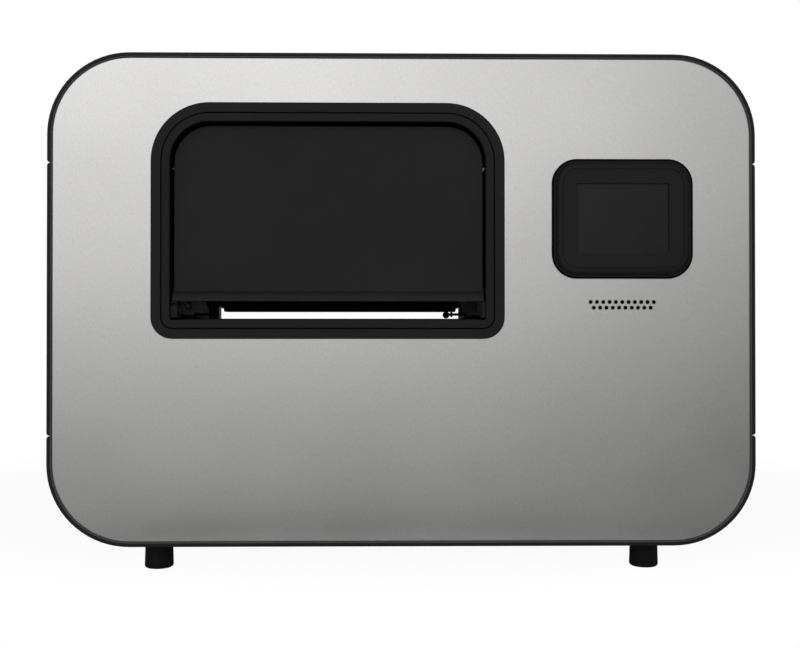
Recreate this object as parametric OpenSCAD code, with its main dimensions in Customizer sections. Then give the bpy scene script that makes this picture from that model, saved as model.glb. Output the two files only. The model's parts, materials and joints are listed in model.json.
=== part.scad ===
// Desktop braille embosser: a wrap-round shell with a hinged lid, steel end panels, a window with a
// hinged flap over the paper slot, two pin-feed tractors and an upper and a lower embossing head.
// The front faces -Y, +Z is up, the floor under the feet is z = 0 and sizes are in millimetres.

/* [Shell] */
// Width over the two side panels
body_w = 750; // [735:5:790]
// Height of the shell without the feet
body_h = 522; // [512:2:560]
// Depth of the shell from its front edge to its rear edge
body_d = 400; // [390:5:440]
// Outer radius of the four shell corners
corner_r = 87; // [75:1:90]
// Wall thickness of the shell
shell_t = 3.5; // [3:0.5:5]
// Height of the lid and of the tray, up to the split lines
split_in = 117; // [112:1:124]
// Open line between neighbouring shell pieces
split_gap = 0.8; // [0.6:0.1:1.2]
// Half width of the V groove along each split line
groove = 2.6; // [2:0.1:3]
// Bevel along the front and rear shell edges
edge_bevel = 1.5; // [1:0.5:2.5]

/* [Feet] */
// Height of the rubber feet
foot_h = 29; // [24:1:36]
// Diameter of a foot at the floor
foot_d = 31; // [28:1:36]
// Distance of the foot centres from the sides
foot_side = 110; // [106:1:135]
// Distance of the foot centres from the front and rear edges
foot_in = 40; // [34:1:60]

/* [End panels] */
// Sheet thickness of the front and rear panels
panel_t = 2; // [1.5:0.5:2.5]
// Depth of the panel faces behind the shell edges
panel_recess = 2; // [1:0.5:3]
// Clearance between panel rim and shell
panel_gap = 0.4; // [0.3:0.1:0.8]
// Outer bend radius of the panel rim
bend_r = 3; // [3:0.5:5]
// Depth of the bent panel rim
flange = 6; // [5:0.5:9]

/* [Window] */
// Sideways position of the window and of the paper path
window_x = -79; // [-82:1:-76]
// Clear width of the window
window_w = 334; // [330:1:340]
// Clear height of the window
window_h = 210; // [200:1:220]
// Radius of the upper corners of the clear window
window_rt = 42; // [36:1:44]
// Radius of the lower corners of the clear window
window_rl = 2.7; // [2:0.1:5]
// Width of the frame round the window
frame_w = 20; // [17:0.5:22]
// Height of the window frame over the panel face
frame_proud = 2; // [1.6:0.1:2.4]
// Depth of the liner behind the panel
liner_depth = 34; // [30:1:38]

/* [Flap] */
// Thickness of the flap
flap_t = 3; // [2.5:0.5:4]
// Gap between flap and window
flap_gap = 2.2; // [1.8:0.1:2.8]
// Depth of the flap face behind the panel face
flap_recess = 12; // [11:0.5:13]
// Free height of the paper slot below the flap
slot_h = 20; // [17:0.5:22]
// Forward reach of the rounded lip
lip_d = 10; // [8:0.5:10.5]
// Height of the rounded lip
lip_h = 11; // [9:0.5:14]

/* [Display] */
// Sideways position of the display pod and the speaker
pod_x = 233.2; // [228:0.2:240]
// Height of the pod centre over the underside of the shell
pod_up = 346.6; // [340:0.2:354]
// Width of the pod
pod_w = 149; // [142:1:156]
// Height of the pod
pod_h = 126; // [120:1:132]
// Corner radius of the pod
pod_r = 26; // [22:1:28]
// Height of the pod over the panel face
pod_proud = 6; // [5:0.5:7]
// Visible width of the screen
screen_w = 97; // [90:1:100]
// Visible height of the screen
screen_h = 74; // [68:1:76]
// Depth of the screen below the pod face
screen_sink = 2.5; // [2:0.1:3]

/* [Speaker] */
// Diameter of a speaker hole
hole_d = 4.3; // [3:0.1:4.6]
// Distance between neighbouring speaker holes
hole_pitch = 6.73; // [6:0.01:7]
// Number of holes in the upper row
hole_count = 11; // [7:2:11]
// Height of the upper row over the underside of the shell
hole_up = 258.3; // [252:0.1:262]

/* [Paper path] */
// Height of the paper plane over the underside of the shell
paper_up = 242; // [238:0.5:246]
// Distance between the two pin rows
pin_span = 317.5; // [300:0.5:318]
// Inner radius of the pin belts
sprocket_r = 12; // [11:0.5:12.5]
// Side of the square feed shaft
shaft_s = 10; // [8:0.5:10.5]
// Radius of the tractor guide rod
guide_r = 4; // [3:0.5:4.5]
// Free height between the paper plane and the raised upper head
head_gap = 12; // [10:0.5:14]
// Length of the two head noses
head_len = 288; // [260:2:290]
// Width of the rear paper slot
intake_w = 345; // [340:1:350]
// Height of the rear paper slot
intake_h = 44; // [36:1:50]

/* [Drive] */
// Side of the feed motor
motor_s = 57; // [48:1:60]
// Radius of the belt seat on the motor pulley
pulley_small = 12; // [10:0.5:14]
// Radius of the belt seat on the shaft pulley
pulley_big = 24; // [20:0.5:26]
// Distance between the motor axis and the feed shaft
drive_drop = 105; // [95:1:115]
// Side of the cooling fan
fan_s = 92; // [80:1:92]

/* [Hidden] */
$fn = 40;
small_fn = 16;
hex_fn = 6;
// arc steps of drawn profiles
steps = 5;
// running clearance between curved faces that move past each other
play = 0.3;
// close fit between curved faces that stay put
fit = 0.05;
// overshoot of cutting bodies
over = 1;
half = 0.5;
root2 = sqrt(2);

body_bottom = foot_h;
body_top = foot_h + body_h;
body_mid = foot_h + body_h/2;
front_y = -body_d/2;
rear_y = body_d/2;
split_low = body_bottom + split_in;
split_up = body_top - split_in;
floor_top = body_bottom + shell_t;

panel_face = front_y + panel_recess;
panel_back = panel_face + panel_t;
rear_face = rear_y - panel_recess;
rear_back = rear_face - panel_t;
panel_w = body_w - 2*(shell_t + panel_gap);
panel_h = body_h - 2*(shell_t + panel_gap);
panel_r = corner_r - shell_t - panel_gap;
bend = max(bend_r, panel_t + half);
rim_d = max(flange, bend + over);

// tie bars between the end panels
bar_s = 20;
bar_off = 12;
bar_out = panel_w/2 - bend;
bar_low = split_low + bar_off + bar_s/2;
bar_high = split_up - bar_off - bar_s/2;
boss_r = 7;
boss_in = 70;

// base plate and mechanism side plates
base_t = 3;
base_top = floor_top + base_t;
base_hw = body_w/2 - corner_r - base_t;
base_hd = body_d/2 - panel_recess - rim_d - over;
plate_t = 4;
plate_in = 188;
plate_margin = 50;
plate_foot = 28;
plate_shoulder = 20;
plate_crown = 8;
plate_l = window_x - plate_in;
plate_r = window_x + plate_in;

// feet and their screws
foot_taper = 0.75;
foot_edge = 3;
foot_bore = 2.6;
foot_sink = 8;
foot_sink_r = 6;
screw_head_r = 5.2;
screw_head_h = 4;
screw_r = 2.2;
hex_r = 2.4;
hex_deep = 2;
foot_x = body_w/2 - foot_side;
foot_spots = [for (x = [-foot_x, foot_x], y = [front_y + foot_in, rear_y - foot_in]) [x, y]];

// paper path
paper_z = body_bottom + paper_up;
sill_drop = 2.8;
sill_z = paper_z - sill_drop;
window_mid = sill_z + window_h/2;
window_top = sill_z + window_h;

// window frame and liner
collar_t = 2.5;
collar_fit = 0.3;
frame_soft = 0.6;
groove_at = 9;
groove_w = 1.4;
groove_deep = 1.2;
liner_t = 2.5;
liner_flange = 14;

// flap, its rod and its stops
flap_face = panel_face + flap_recess;
flap_back = flap_face + flap_t;
flap_w = window_w - 2*flap_gap;
flap_low = sill_z + slot_h;
flap_high = window_top - flap_gap;
flap_rl = 1.5;
rod_r = 3;
rod_y = flap_back + rod_r + over;
rod_z = window_top - window_rt - rod_r - 2;
rod_stub = 1;
barrel_r = 5.5;
barrel_len = 40;
barrel_gap = 110;
stop_gap = 0.3;
stop_w = [7, 4];
stop_d = 9;
stop_toe = 3;
stop_lift = window_rl;
stop_h = 32;
stop_room = 0.7;
notch_deep = 6;
ball_r = 4.2;
ball_reach = 8.5;
ball_up = 15.7;
stud_r = 1.6;
stud_disc = 3.2;
stud_disc_t = 1.6;

// display pod
pod_mid = body_bottom + pod_up;
pod_step = 1.5;
pod_ledge = 4;
pod_round = 9.1;
pod_groove_w = 1;
pod_groove_deep = 0.9;
glass_rim = 4;
glass_t = 2;
glass_fit = 0.2;
glass_w = screen_w + 2*glass_rim;
glass_h = screen_h + 2*glass_rim;
module_t = 9;
module_in = 3;
module_board = 10;
module_board_t = 1.6;
module_chip = [40, 24, 5];

// speaker
hole_rows = 0.9;
hole_row_gap = hole_pitch*hole_rows;
hole_z = body_bottom + hole_up;
speaker_w = hole_pitch*(hole_count + 2);
speaker_h = 30;
speaker_wall = 3;
speaker_d = 8;
speaker_magnet_r = 12;
speaker_magnet_d = 12;

// lid hinges
hinge_r = 4;
hinge_x = 220;
hinge_len = 66;
hinge_mid = 26;
hinge_gap = 0.4;
hinge_pin = 1.6;
hinge_leaf = 1.8;
hinge_reach = 34;
hinge_z = body_top - hinge_r;
hinge_cut = 0.8;
hinge_spots = [-hinge_x, hinge_x];

// embossing heads, drawn with the nose pointing down at z = 0
head_x = window_x + 4;
head_y = 0;
nose_hw = 12;
nose_h = 20;
nose_cap = 2.6;
nose_cap_up = 4;
beam_hw = 35;
beam_h = 40;
upper_z = paper_z + head_gap;
lower_drop = 3;
lower_z = paper_z - lower_drop;
punch_hw = 3.7;
punch_low = 6;
punch_h = 28;
punch_end = 8;
punch_lift = 0.5;
punch_room = 46;
dot_r = 1;
dot_pitch = 6.5;
dot_count = floor((head_len - 4*punch_end)/dot_pitch);
coil_r = 9.5;
coil_h = 40;
coil_pitch = 24;
coil_count = 12;
coil_row = 17;
cap_r = 4;
cap_h = 5;

// tractors, drawn for the right side with x = 0 on the pin row
belt_t = 1.6;
belt_sink = 0.4;
belt_hw = 6;
tractor_z = paper_z - belt_sink - belt_t - sprocket_r;
tractor_nose = front_y + 60;
tractor_axis = front_y + 105;
tractor_rod = tractor_nose + 12;
tractor_hw = 11;
cheek_t = 3.5;
cheek_r = sprocket_r + half;
hub_r = sprocket_r - 3;
hub_room = 1.5;
bore_play = 0.6;
feed_pin_r = 1.9;
feed_pin_tip = 1.2;
feed_pin_h = 4.2;
feed_pitch = 12.7;
feed_pins = 4;
gate_lift = 1.2;
gate_t = 2.5;
gate_x = 15;
gate_z = paper_z + gate_lift + gate_t/2 + half;
gate_rod = 1.5;
gate_barrel = 3.2;
gate_ear = 3;
gate_ear_end = sprocket_r;
gate_slot = 3.5;
gate_slot_over = 4;
knob_r = 3.9;
knob_x = -30.4;
knob_up = 4.7;
knob_drop = 0.6;
knob_stem = 1.5;
knob_disc = 2.9;
knob_disc_x = -25.6;
knob_disc_t = 2.2;
knob_arm = 1.6;
knob_arm_h = 26;
knob_boss = 4;

// feed shaft and its bearings
journal_r = 4;
journal_out = 24;
shaft_end = 4;
bush_r = 8;
bush_flange = 10.5;
bush_flange_t = 2;
bush_out = 2;
guide_out = 3;

// motor drive
drive_z = tractor_z - drive_drop;
motor_len = 56;
motor_cap = 12;
motor_step = 1.2;
motor_cut = 6;
motor_boss = 19;
motor_boss_t = 3;
spindle_r = 3.2;
pulley_off = 4;
pulley_w = 14;
pulley_rim = 1.5;
pulley_rim_r = 3;
loop_t = 1.8;
loop_w = 10;
loop_steps = 24;
loop_x = plate_r + plate_t + pulley_off + pulley_w/2;

// paper guides
guide_t = 1.5;
guide_z = paper_z - lower_drop - half;
guide_flange = 36;
guide_tip = 4;
guide_gap = 2;

// rear paper slot
intake_x = window_x - 6;
intake_low = guide_z - guide_t;
intake_top = intake_low + intake_h;
intake_slant = 15;
intake_wall = 2.5;
intake_rim = 9;
intake_rim_t = 1.5;
intake_deep = 20;

// power supply and control board
board_in = 10;
supply_in = 12;
supply_y = [-80, 90];
supply_h = 54;
supply_wall = 2;
supply_slots = 8;
supply_slot = [60, 4];
supply_slot_pitch = 16;
board_x = [loop_x + pulley_w/2 + board_in, base_hw - board_in];
supply_x = [board_x[0] + supply_in, board_x[1] - supply_in];
board_y = [-104, 112];
board_t = 1.6;
board_up = 84;
board_z = base_top + board_up;
post_r = 4;
post_in = 7;
sink_size = [26, 80, 30];
sink_fins = 6;
sink_base = 5;
sink_fin = 1.6;
cap_size = [8, 26];
plug_size = [12, 34, 11];

// fan
fan_in = 23;
fan_x = base_hw - fan_in;
fan_up = 205;
fan_z = body_bottom + fan_up;
fan_d = 25;
fan_wall = 2.5;
fan_hub = 17;
fan_strut = 5;
fan_strut_t = 4;
fan_tip = 2;
fan_blades = 7;
blade_t = 1.6;
blade_w = 15;
blade_tilt = 38;
fan_axle = 3;
grille_count = 9;
grille_slot = 4.5;
grille_pitch = fan_s/(grille_count + 1);

// mains inlet, power rocker and data ports
inlet_in = 107;
inlet_x = base_hw - inlet_in;
inlet_up = 92;
inlet_z = body_bottom + inlet_up;
inlet_body = [28, 48, 24];
inlet_rim = 4;
inlet_rim_t = 2.5;
socket_w = 22;
socket_h = 16;
socket_deep = 17;
socket_off = -11;
socket_cut = 4;
blade_pin = [2, 4, 14];
blade_gap = 7;
blade_off = 2;
rocker_w = 20;
rocker_h = 13;
rocker_off = 13;
rocker_deep = 12;
rocker_tilt = 9;
rocker_out = 1.5;
rocker_fit = 0.6;
rocker_axle = 1.5;
rocker_stub = 1;
rocker_sink = 3.5;
ports_in = 50;
ports_x = base_hw - ports_in;
ports_up = 92;
ports_z = body_bottom + ports_up;
ports_size = [44, 22, 18];
ports_rim = 2;
port_a = [12, 11];
port_b = [14, 12];
port_gap = 10;
port_deep = 12;

// plate that carries the sockets, seen through a bay in the rear panel
socket_face = rear_back;
socket_back = socket_face - panel_t;
bay_gap = 6;
bay_lap = 8;
bay_x = [inlet_x - inlet_body[1]/2 - inlet_rim - bay_gap, ports_x + ports_size[0]/2 + ports_rim + bay_gap];
bay_z = [inlet_z - inlet_body[0]/2 - inlet_rim - bay_gap, inlet_z + inlet_body[0]/2 + inlet_rim + bay_gap];

// rear vents and screws
vent_count = 12;
vent_pitch = 14;
vent_slot = [5, 52];
vent_in = 35;
vent_x = vent_in - base_hw;
vent_up = 96;
pan_head_r = 4;
pan_head_h = 2.4;
pan_screw_r = 2;
pan_screw_len = 9;
pan_slot = 1.2;
rear_spots = [for (x = [-1, 1], z = [bar_low, bar_high]) [x*(bar_out - bar_s/2), z]];

shell_black = [0.05, 0.05, 0.055];
deep_black = [0.09, 0.09, 0.1];
steel_grey = [0.66, 0.66, 0.65];
zinc = [0.55, 0.57, 0.6];
alloy = [0.75, 0.76, 0.78];
rubber = [0.07, 0.07, 0.07];
glass_dark = [0.12, 0.13, 0.15];
board_green = [0.05, 0.25, 0.14];
copper = [0.62, 0.34, 0.2];
tractor_grey = [0.2, 0.21, 0.23];

function arc(c, a, b, from, to, n) =
  [for (i = [0:n]) c + [a*cos(from + (to - from)*i/n), b*sin(from + (to - from)*i/n)]];

module box(x, y, z) {
  translate([x[0], y[0], z[0]]) cube([x[1] - x[0], y[1] - y[0], z[1] - z[0]]);
}

module rod_x(r, x, y, z) {
  translate([x[0], y, z]) rotate([0, 90, 0]) cylinder(r = r, h = x[1] - x[0]);
}

module rod_y(r, y, x, z) {
  translate([x, y[0], z]) rotate([-90, 0, 0]) cylinder(r = r, h = y[1] - y[0]);
}

module along_x(x) {
  translate([x[0], 0, 0]) rotate([90, 0, 90]) linear_extrude(x[1] - x[0]) children();
}

// stands a drawing in the XZ plane up at depth y, its height growing towards the front
module stand(x, y, z) {
  translate([x, y, z]) rotate([90, 0, 0]) children();
}

// sweeps a profile round a rectangle; profile x points outwards, profile y becomes height
module ring_sweep(w, h, rt, rl) {
  corners = [[w/2 - rt, h/2 - rt, rt, 0], [rt - w/2, h/2 - rt, rt, 90],
    [rl - w/2, rl - h/2, rl, 180], [w/2 - rl, rl - h/2, rl, 270]];
  runs = [[w/2, h/2 - rt, 0, h - rt - rl], [rt - w/2, h/2, 90, w - 2*rt],
    [-w/2, rl - h/2, 180, h - rt - rl], [w/2 - rl, -h/2, 270, w - 2*rl]];
  for (c = corners) translate([c[0], c[1], 0]) rotate([0, 0, c[3]])
    rotate_extrude(angle = 90) translate([c[2], 0]) children();
  for (r = runs) translate([r[0], r[1], 0]) rotate([0, 0, r[2]]) rotate([90, 0, 0])
    linear_extrude(r[3]) children();
}

// flat slab with rounded corners, upper and lower radius given apart
module round_slab(w, h, t, rt, rl) {
  linear_extrude(t) polygon([[rl - w/2, -h/2], [w/2 - rl, -h/2], [w/2 - rl, rl - h/2], [w/2, rl - h/2],
    [w/2, h/2 - rt], [w/2 - rt, h/2 - rt], [w/2 - rt, h/2], [rt - w/2, h/2], [rt - w/2, h/2 - rt],
    [-w/2, h/2 - rt], [-w/2, rl - h/2], [rl - w/2, rl - h/2]]);
  corners = [[w/2 - rt, h/2 - rt, rt, 0], [rt - w/2, h/2 - rt, rt, 90],
    [rl - w/2, rl - h/2, rl, 180], [w/2 - rl, rl - h/2, rl, 270]];
  for (c = corners) translate([c[0], c[1], 0]) rotate([0, 0, c[3]])
    rotate_extrude(angle = 90) square([c[2], t]);
}

module shell_profile() {
  polygon([[0, front_y], [shell_t - edge_bevel, front_y], [shell_t, front_y + edge_bevel],
    [shell_t, rear_y - edge_bevel], [shell_t - edge_bevel, rear_y], [0, rear_y]]);
}

module split_groove(side, z) {
  translate([side*body_w/2, 0, z]) rotate([0, 45, 0])
    cube([groove*root2, 2*body_d, groove*root2], center = true);
}

// upper shell piece about the middle height; the tray is the same piece upside down
module shell_cap() {
  in_x = body_w/2 - corner_r;
  in_z = body_h/2 - corner_r;
  run = split_in - corner_r - split_gap/2;
  difference() {
    rotate([90, 0, 0]) {
      translate([in_x, in_z, 0])
        rotate_extrude(angle = 90) translate([corner_r - shell_t, 0]) shell_profile();
      translate([-in_x, in_z, 0]) rotate([0, 0, 90])
        rotate_extrude(angle = 90) translate([corner_r - shell_t, 0]) shell_profile();
      translate([-in_x, body_h/2 - shell_t, 0]) rotate([0, 0, 90]) rotate([90, 0, 0])
        linear_extrude(2*in_x) shell_profile();
      translate([body_w/2 - shell_t, in_z, 0]) rotate([90, 0, 0]) linear_extrude(run) shell_profile();
      translate([shell_t - body_w/2, in_z - run, 0]) rotate([0, 0, 180]) rotate([90, 0, 0])
        linear_extrude(run) shell_profile();
    }
    for (side = [-1, 1]) split_groove(side, body_h/2 - split_in);
  }
}

module base_tray() {
  color(shell_black) difference() {
    translate([0, 0, body_mid]) rotate([0, 180, 0]) shell_cap();
    for (p = foot_spots) translate([p[0], p[1], body_bottom - over])
      cylinder(r = foot_bore, h = shell_t + 2*over, $fn = small_fn);
  }
}

module side_panel() {
  color(shell_black) difference() {
    union() {
      translate([body_w/2 - shell_t, 0, split_low + split_gap/2])
        linear_extrude(split_up - split_low - split_gap) shell_profile();
      for (y = [front_y + boss_in, rear_y - boss_in], z = [bar_low, bar_high])
        rod_x(boss_r, [bar_out, body_w/2 - shell_t], y, z, $fn = small_fn);
    }
    for (z = [split_low, split_up]) split_groove(1, z);
  }
}

module left_side_panel() {
  rotate([0, 0, 180]) side_panel();
}

module right_side_panel() {
  side_panel();
}

module pan_profile() {
  polygon(concat([[0, 0]], arc([panel_r - bend, -bend], bend, bend, 90, 0, steps),
    [[panel_r, -rim_d], [panel_r - panel_t, -rim_d]],
    arc([panel_r - bend, -bend], bend - panel_t, bend - panel_t, 0, 90, steps), [[0, -panel_t]]));
}

// dished end panel, face at height 0
module pan() {
  in_w = panel_w - 2*panel_r;
  in_h = panel_h - 2*panel_r;
  ring_sweep(in_w, in_h, 0, 0) pan_profile();
  translate([-in_w/2, -in_h/2, -panel_t]) cube([in_w, in_h, panel_t]);
}

module speaker_holes() {
  for (i = [0:hole_count - 1])
    rod_y(hole_d/2, [panel_face - over, panel_back + over], pod_x + (i - (hole_count - 1)/2)*hole_pitch,
      hole_z, $fn = small_fn);
  for (i = [0:hole_count - 2])
    rod_y(hole_d/2, [panel_face - over, panel_back + over], pod_x + (i - (hole_count - 2)/2)*hole_pitch,
      hole_z - hole_row_gap, $fn = small_fn);
}

module front_panel() {
  cut = collar_t + collar_fit;
  color(steel_grey) difference() {
    stand(0, panel_face, body_mid) pan();
    stand(window_x, panel_back + over, window_mid)
      round_slab(window_w + 2*cut, window_h + 2*cut, panel_t + 2*over, window_rt + cut, window_rl + cut);
    box([pod_x - glass_w/2 - over, pod_x + glass_w/2 + over], [panel_face - over, panel_back + over],
      [pod_mid - glass_h/2 - over, pod_mid + glass_h/2 + over]);
    speaker_holes();
  }
}

module intake_outline(grow) {
  x = intake_w/2 + grow;
  slant = intake_slant - grow*(root2 - 1);
  polygon([[-x, intake_low - grow], [x, intake_low - grow], [x, intake_top + grow - slant],
    [x - slant, intake_top + grow], [slant - x, intake_top + grow], [-x, intake_top + grow - slant]]);
}

module rear_panel() {
  color(steel_grey) difference() {
    translate([0, rear_face, body_mid]) rotate([90, 0, 180]) pan();
    stand(intake_x, rear_face + over, 0) linear_extrude(panel_t + 2*over)
      intake_outline(intake_wall + collar_fit);
    for (x = hinge_spots)
      box([x - hinge_len/2 - hinge_cut, x + hinge_len/2 + hinge_cut],
        [rear_y - hinge_r - hinge_cut, rear_y], [hinge_z - hinge_r - hinge_cut, body_top]);
    for (i = [0:grille_count - 1]) grille_opening(i);
    box(bay_x, [rear_back - over, rear_y], bay_z);
    for (i = [0:vent_count - 1]) translate([vent_x + i*vent_pitch, 0, body_bottom + vent_up])
      box([-vent_slot[0]/2, vent_slot[0]/2], [rear_back - over, rear_y], [-vent_slot[1]/2, vent_slot[1]/2]);
    for (p = rear_spots)
      rod_y(pan_screw_r + fit, [rear_back - over, rear_y], p[0], p[1], $fn = small_fn);
  }
}

module socket_plate() {
  y = [socket_back - over, socket_face + over];
  color(zinc) difference() {
    box([bay_x[0] - bay_lap, bay_x[1] + bay_lap], [socket_back, socket_face],
      [bay_z[0] - bay_lap, bay_z[1] + bay_lap]);
    box([inlet_x - inlet_body[1]/2 - fit, inlet_x + inlet_body[1]/2 + fit], y,
      [inlet_z - inlet_body[0]/2 - fit, inlet_z + inlet_body[0]/2 + fit]);
    box([ports_x - ports_size[0]/2 - fit, ports_x + ports_size[0]/2 + fit], y,
      [ports_z - ports_size[1]/2 - fit, ports_z + ports_size[1]/2 + fit]);
  }
}

// one grille slot, as long as the fan is wide at that height
module grille_opening(i) {
  z = (i - (grille_count - 1)/2)*grille_pitch;
  r = fan_s/2 - fan_wall - over;
  x = sqrt(r*r - z*z) - grille_slot/2;
  box([fan_x - x, fan_x + x], [rear_back - over, rear_y],
    [fan_z + z - grille_slot/2, fan_z + z + grille_slot/2]);
}

module tie_bars() {
  color(zinc) for (side = [-1, 1], z = [bar_low, bar_high]) difference() {
    box(side > 0 ? [bar_out - bar_s, bar_out] : [-bar_out, bar_s - bar_out], [panel_back, rear_back],
      [z - bar_s/2, z + bar_s/2]);
    rod_y(pan_screw_r + fit, [rear_back - pan_screw_len, rear_back + over], side*(bar_out - bar_s/2), z,
      $fn = small_fn);
  }
}

module base_plate() {
  color(zinc) difference() {
    union() {
      box([-base_hw, base_hw], [-base_hd, base_hd], [floor_top, base_top]);
      for (x = [board_x[0] + post_in, board_x[1] - post_in], y = [board_y[0] + post_in, board_y[1] - post_in])
        translate([x, y, floor_top]) cylinder(r = post_r, h = board_z - floor_top, $fn = small_fn);
    }
    for (p = foot_spots) translate([p[0], p[1], floor_top - over])
      cylinder(r = foot_bore, h = base_t + 2*over, $fn = small_fn);
  }
}

// mechanism side plate with an inward foot; the plate stands on x = 0 with its inner face
module mech_plate(drive) {
  y = [front_y + plate_margin, rear_y - plate_margin];
  top = upper_z + nose_h + beam_h + base_t;
  crown = beam_hw + plate_crown;
  difference() {
    union() {
      along_x([0, plate_t]) polygon([[y[0], base_top], [y[1], base_top], [y[1], paper_z + plate_shoulder],
        [head_y + crown, top], [head_y - crown, top], [y[0], paper_z + plate_shoulder]]);
      box([-plate_foot, over], y, [base_top, base_top + plate_t]);
    }
    rod_x(bush_r + fit, [-over, plate_t + over], tractor_axis, tractor_z);
    rod_x(guide_r + fit, [-over, plate_t + over], tractor_rod, tractor_z, $fn = small_fn);
    if (drive) rod_x(motor_boss + fit, [-over, plate_t + over], tractor_axis, drive_z);
  }
}

module left_plate() {
  color(zinc) translate([plate_l, 0, 0]) mirror([1, 0, 0]) mech_plate(false);
}

module right_plate() {
  color(zinc) translate([plate_r, 0, 0]) mech_plate(true);
}

module window_frame() {
  a = groove_at + groove_w/2;
  b = groove_at - groove_w/2;
  low = frame_proud - groove_deep;
  color(deep_black) stand(window_x, panel_face, window_mid)
    ring_sweep(window_w, window_h, window_rt, window_rl)
      polygon([[0, -panel_t], [collar_t, -panel_t], [collar_t, 0], [frame_w, 0],
        [frame_w, frame_proud - frame_soft], [frame_w - frame_soft, frame_proud], [a, frame_proud], [a, low],
        [b, low], [b, frame_proud], [frame_soft, frame_proud], [0, frame_proud - frame_soft]]);
}

module window_liner() {
  color(deep_black) difference() {
    stand(window_x, panel_back, window_mid)
      ring_sweep(window_w, window_h, window_rt, window_rl)
        polygon([[0, -liner_depth], [liner_t, -liner_depth], [liner_t, -liner_t],
          [liner_flange, -liner_t], [liner_flange, 0], [0, 0]]);
    for (side = [-1, 1]) translate([window_x + side*window_w/2, 0, 0])
      rod_x(rod_r + fit, [-liner_flange, liner_flange], rod_y, rod_z, $fn = small_fn);
  }
}

// cheeks at the lower window corners: the flap rests on the upper part, the toe lies under its lip
module flap_stops() {
  low = sill_z + stop_lift;
  toe = panel_face + stop_toe;
  rest = flap_back + stop_gap;
  x = [window_x - window_w/2, window_x + window_w/2];
  notch = sill_z + ball_up;
  color(deep_black) difference() {
    for (span = [[x[0], x[0] + stop_w[0]], [x[1] - stop_w[1], x[1]]])
      along_x(span) polygon([[toe, low], [rest + stop_d, low], [rest + stop_d, low + stop_h],
        [rest, low + stop_h], [rest, flap_low - stop_room], [toe, flap_low - stop_room]]);
    box([x[0] - over, x[0] + stop_w[0] + over], [toe - over, toe + notch_deep],
      [notch - stud_r/2, notch + 1.5*stud_r]);
  }
}

// ball stud on the left stop cheek that the flap clips over
module flap_catch() {
  color(deep_black) translate([window_x - window_w/2 + stop_w[0], flap_back + stop_gap + stop_d/2 + over,
      sill_z + ball_up]) rotate([0, 90, 0]) {
    cylinder(r = stud_r, h = ball_reach, $fn = small_fn);
    translate([0, 0, ball_reach/2 - stud_disc_t]) cylinder(r = stud_disc, h = stud_disc_t, $fn = small_fn);
    translate([0, 0, ball_reach]) sphere(r = ball_r, $fn = small_fn);
  }
}

module flap_rod() {
  color(zinc) rod_x(rod_r, [window_x - window_w/2 - liner_t - rod_stub,
    window_x + window_w/2 + liner_t + rod_stub], rod_y, rod_z, $fn = small_fn);
}

module flap() {
  h = flap_high - flap_low;
  color(deep_black) difference() {
    union() {
      stand(window_x, flap_back, flap_low + h/2)
        round_slab(flap_w, h, flap_t, window_rt - flap_gap, flap_rl);
      along_x([window_x - flap_w/2, window_x + flap_w/2])
        polygon(concat([[flap_back, flap_low + flap_rl], [flap_face, flap_low]],
          arc([flap_face, flap_low], -lip_d, lip_h, 0, 90, 2*steps), [[flap_back, flap_low + lip_h]]));
      for (i = [-1:1]) rod_x(barrel_r, [window_x + i*barrel_gap - barrel_len/2,
        window_x + i*barrel_gap + barrel_len/2], rod_y, rod_z, $fn = small_fn);
    }
    rod_x(rod_r + play, [window_x - flap_w/2, window_x + flap_w/2], rod_y, rod_z, $fn = small_fn);
  }
}

module display_pod() {
  top = pod_proud;
  in = pod_r - pod_round;
  sink = pod_proud - screen_sink;
  color(deep_black) difference() {
    stand(pod_x, panel_face, pod_mid) {
      ring_sweep(pod_w - 2*pod_r, pod_h - 2*pod_r, 0, 0)
        polygon(concat([[0, 0], [pod_r, 0], [pod_r, pod_step]],
          arc([in, pod_step], pod_round - pod_ledge, top - pod_step, 0, 90, steps),
          [[in - pod_groove_w, top], [in - pod_groove_w, top - pod_groove_deep],
            [in - 2*pod_groove_w, top - pod_groove_deep], [in - 2*pod_groove_w, top], [0, top]]));
      translate([pod_r - pod_w/2, pod_r - pod_h/2, 0])
        cube([pod_w - 2*pod_r, pod_h - 2*pod_r, top]);
    }
    box([pod_x - screen_w/2, pod_x + screen_w/2], [panel_face - pod_proud - over, panel_face + over],
      [pod_mid - screen_h/2, pod_mid + screen_h/2]);
    box([pod_x - glass_w/2 - glass_fit, pod_x + glass_w/2 + glass_fit],
      [panel_face - sink, panel_face + over],
      [pod_mid - glass_h/2 - glass_fit, pod_mid + glass_h/2 + glass_fit]);
  }
}

module display_glass() {
  sink = panel_face - pod_proud + screen_sink;
  color(glass_dark) box([pod_x - glass_w/2, pod_x + glass_w/2], [sink, sink + glass_t],
    [pod_mid - glass_h/2, pod_mid + glass_h/2]);
}

// screen unit: a block behind the glass and a board against the back of the panel
module display_module() {
  y = panel_face - pod_proud + screen_sink + glass_t;
  w = glass_w/2 - module_in;
  h = glass_h/2 - module_in;
  board = [glass_w/2 + module_board, glass_h/2 + module_board];
  color(board_green) {
    box([pod_x - w, pod_x + w], [y, panel_back + module_t], [pod_mid - h, pod_mid + h]);
    box([pod_x - board[0], pod_x + board[0]], [panel_back, panel_back + module_board_t],
      [pod_mid - board[1], pod_mid + board[1]]);
    translate([pod_x - module_chip[0]/2, panel_back + module_t, pod_mid - module_chip[1]/2])
      cube([module_chip[0], module_chip[2], module_chip[1]]);
  }
}

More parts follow.
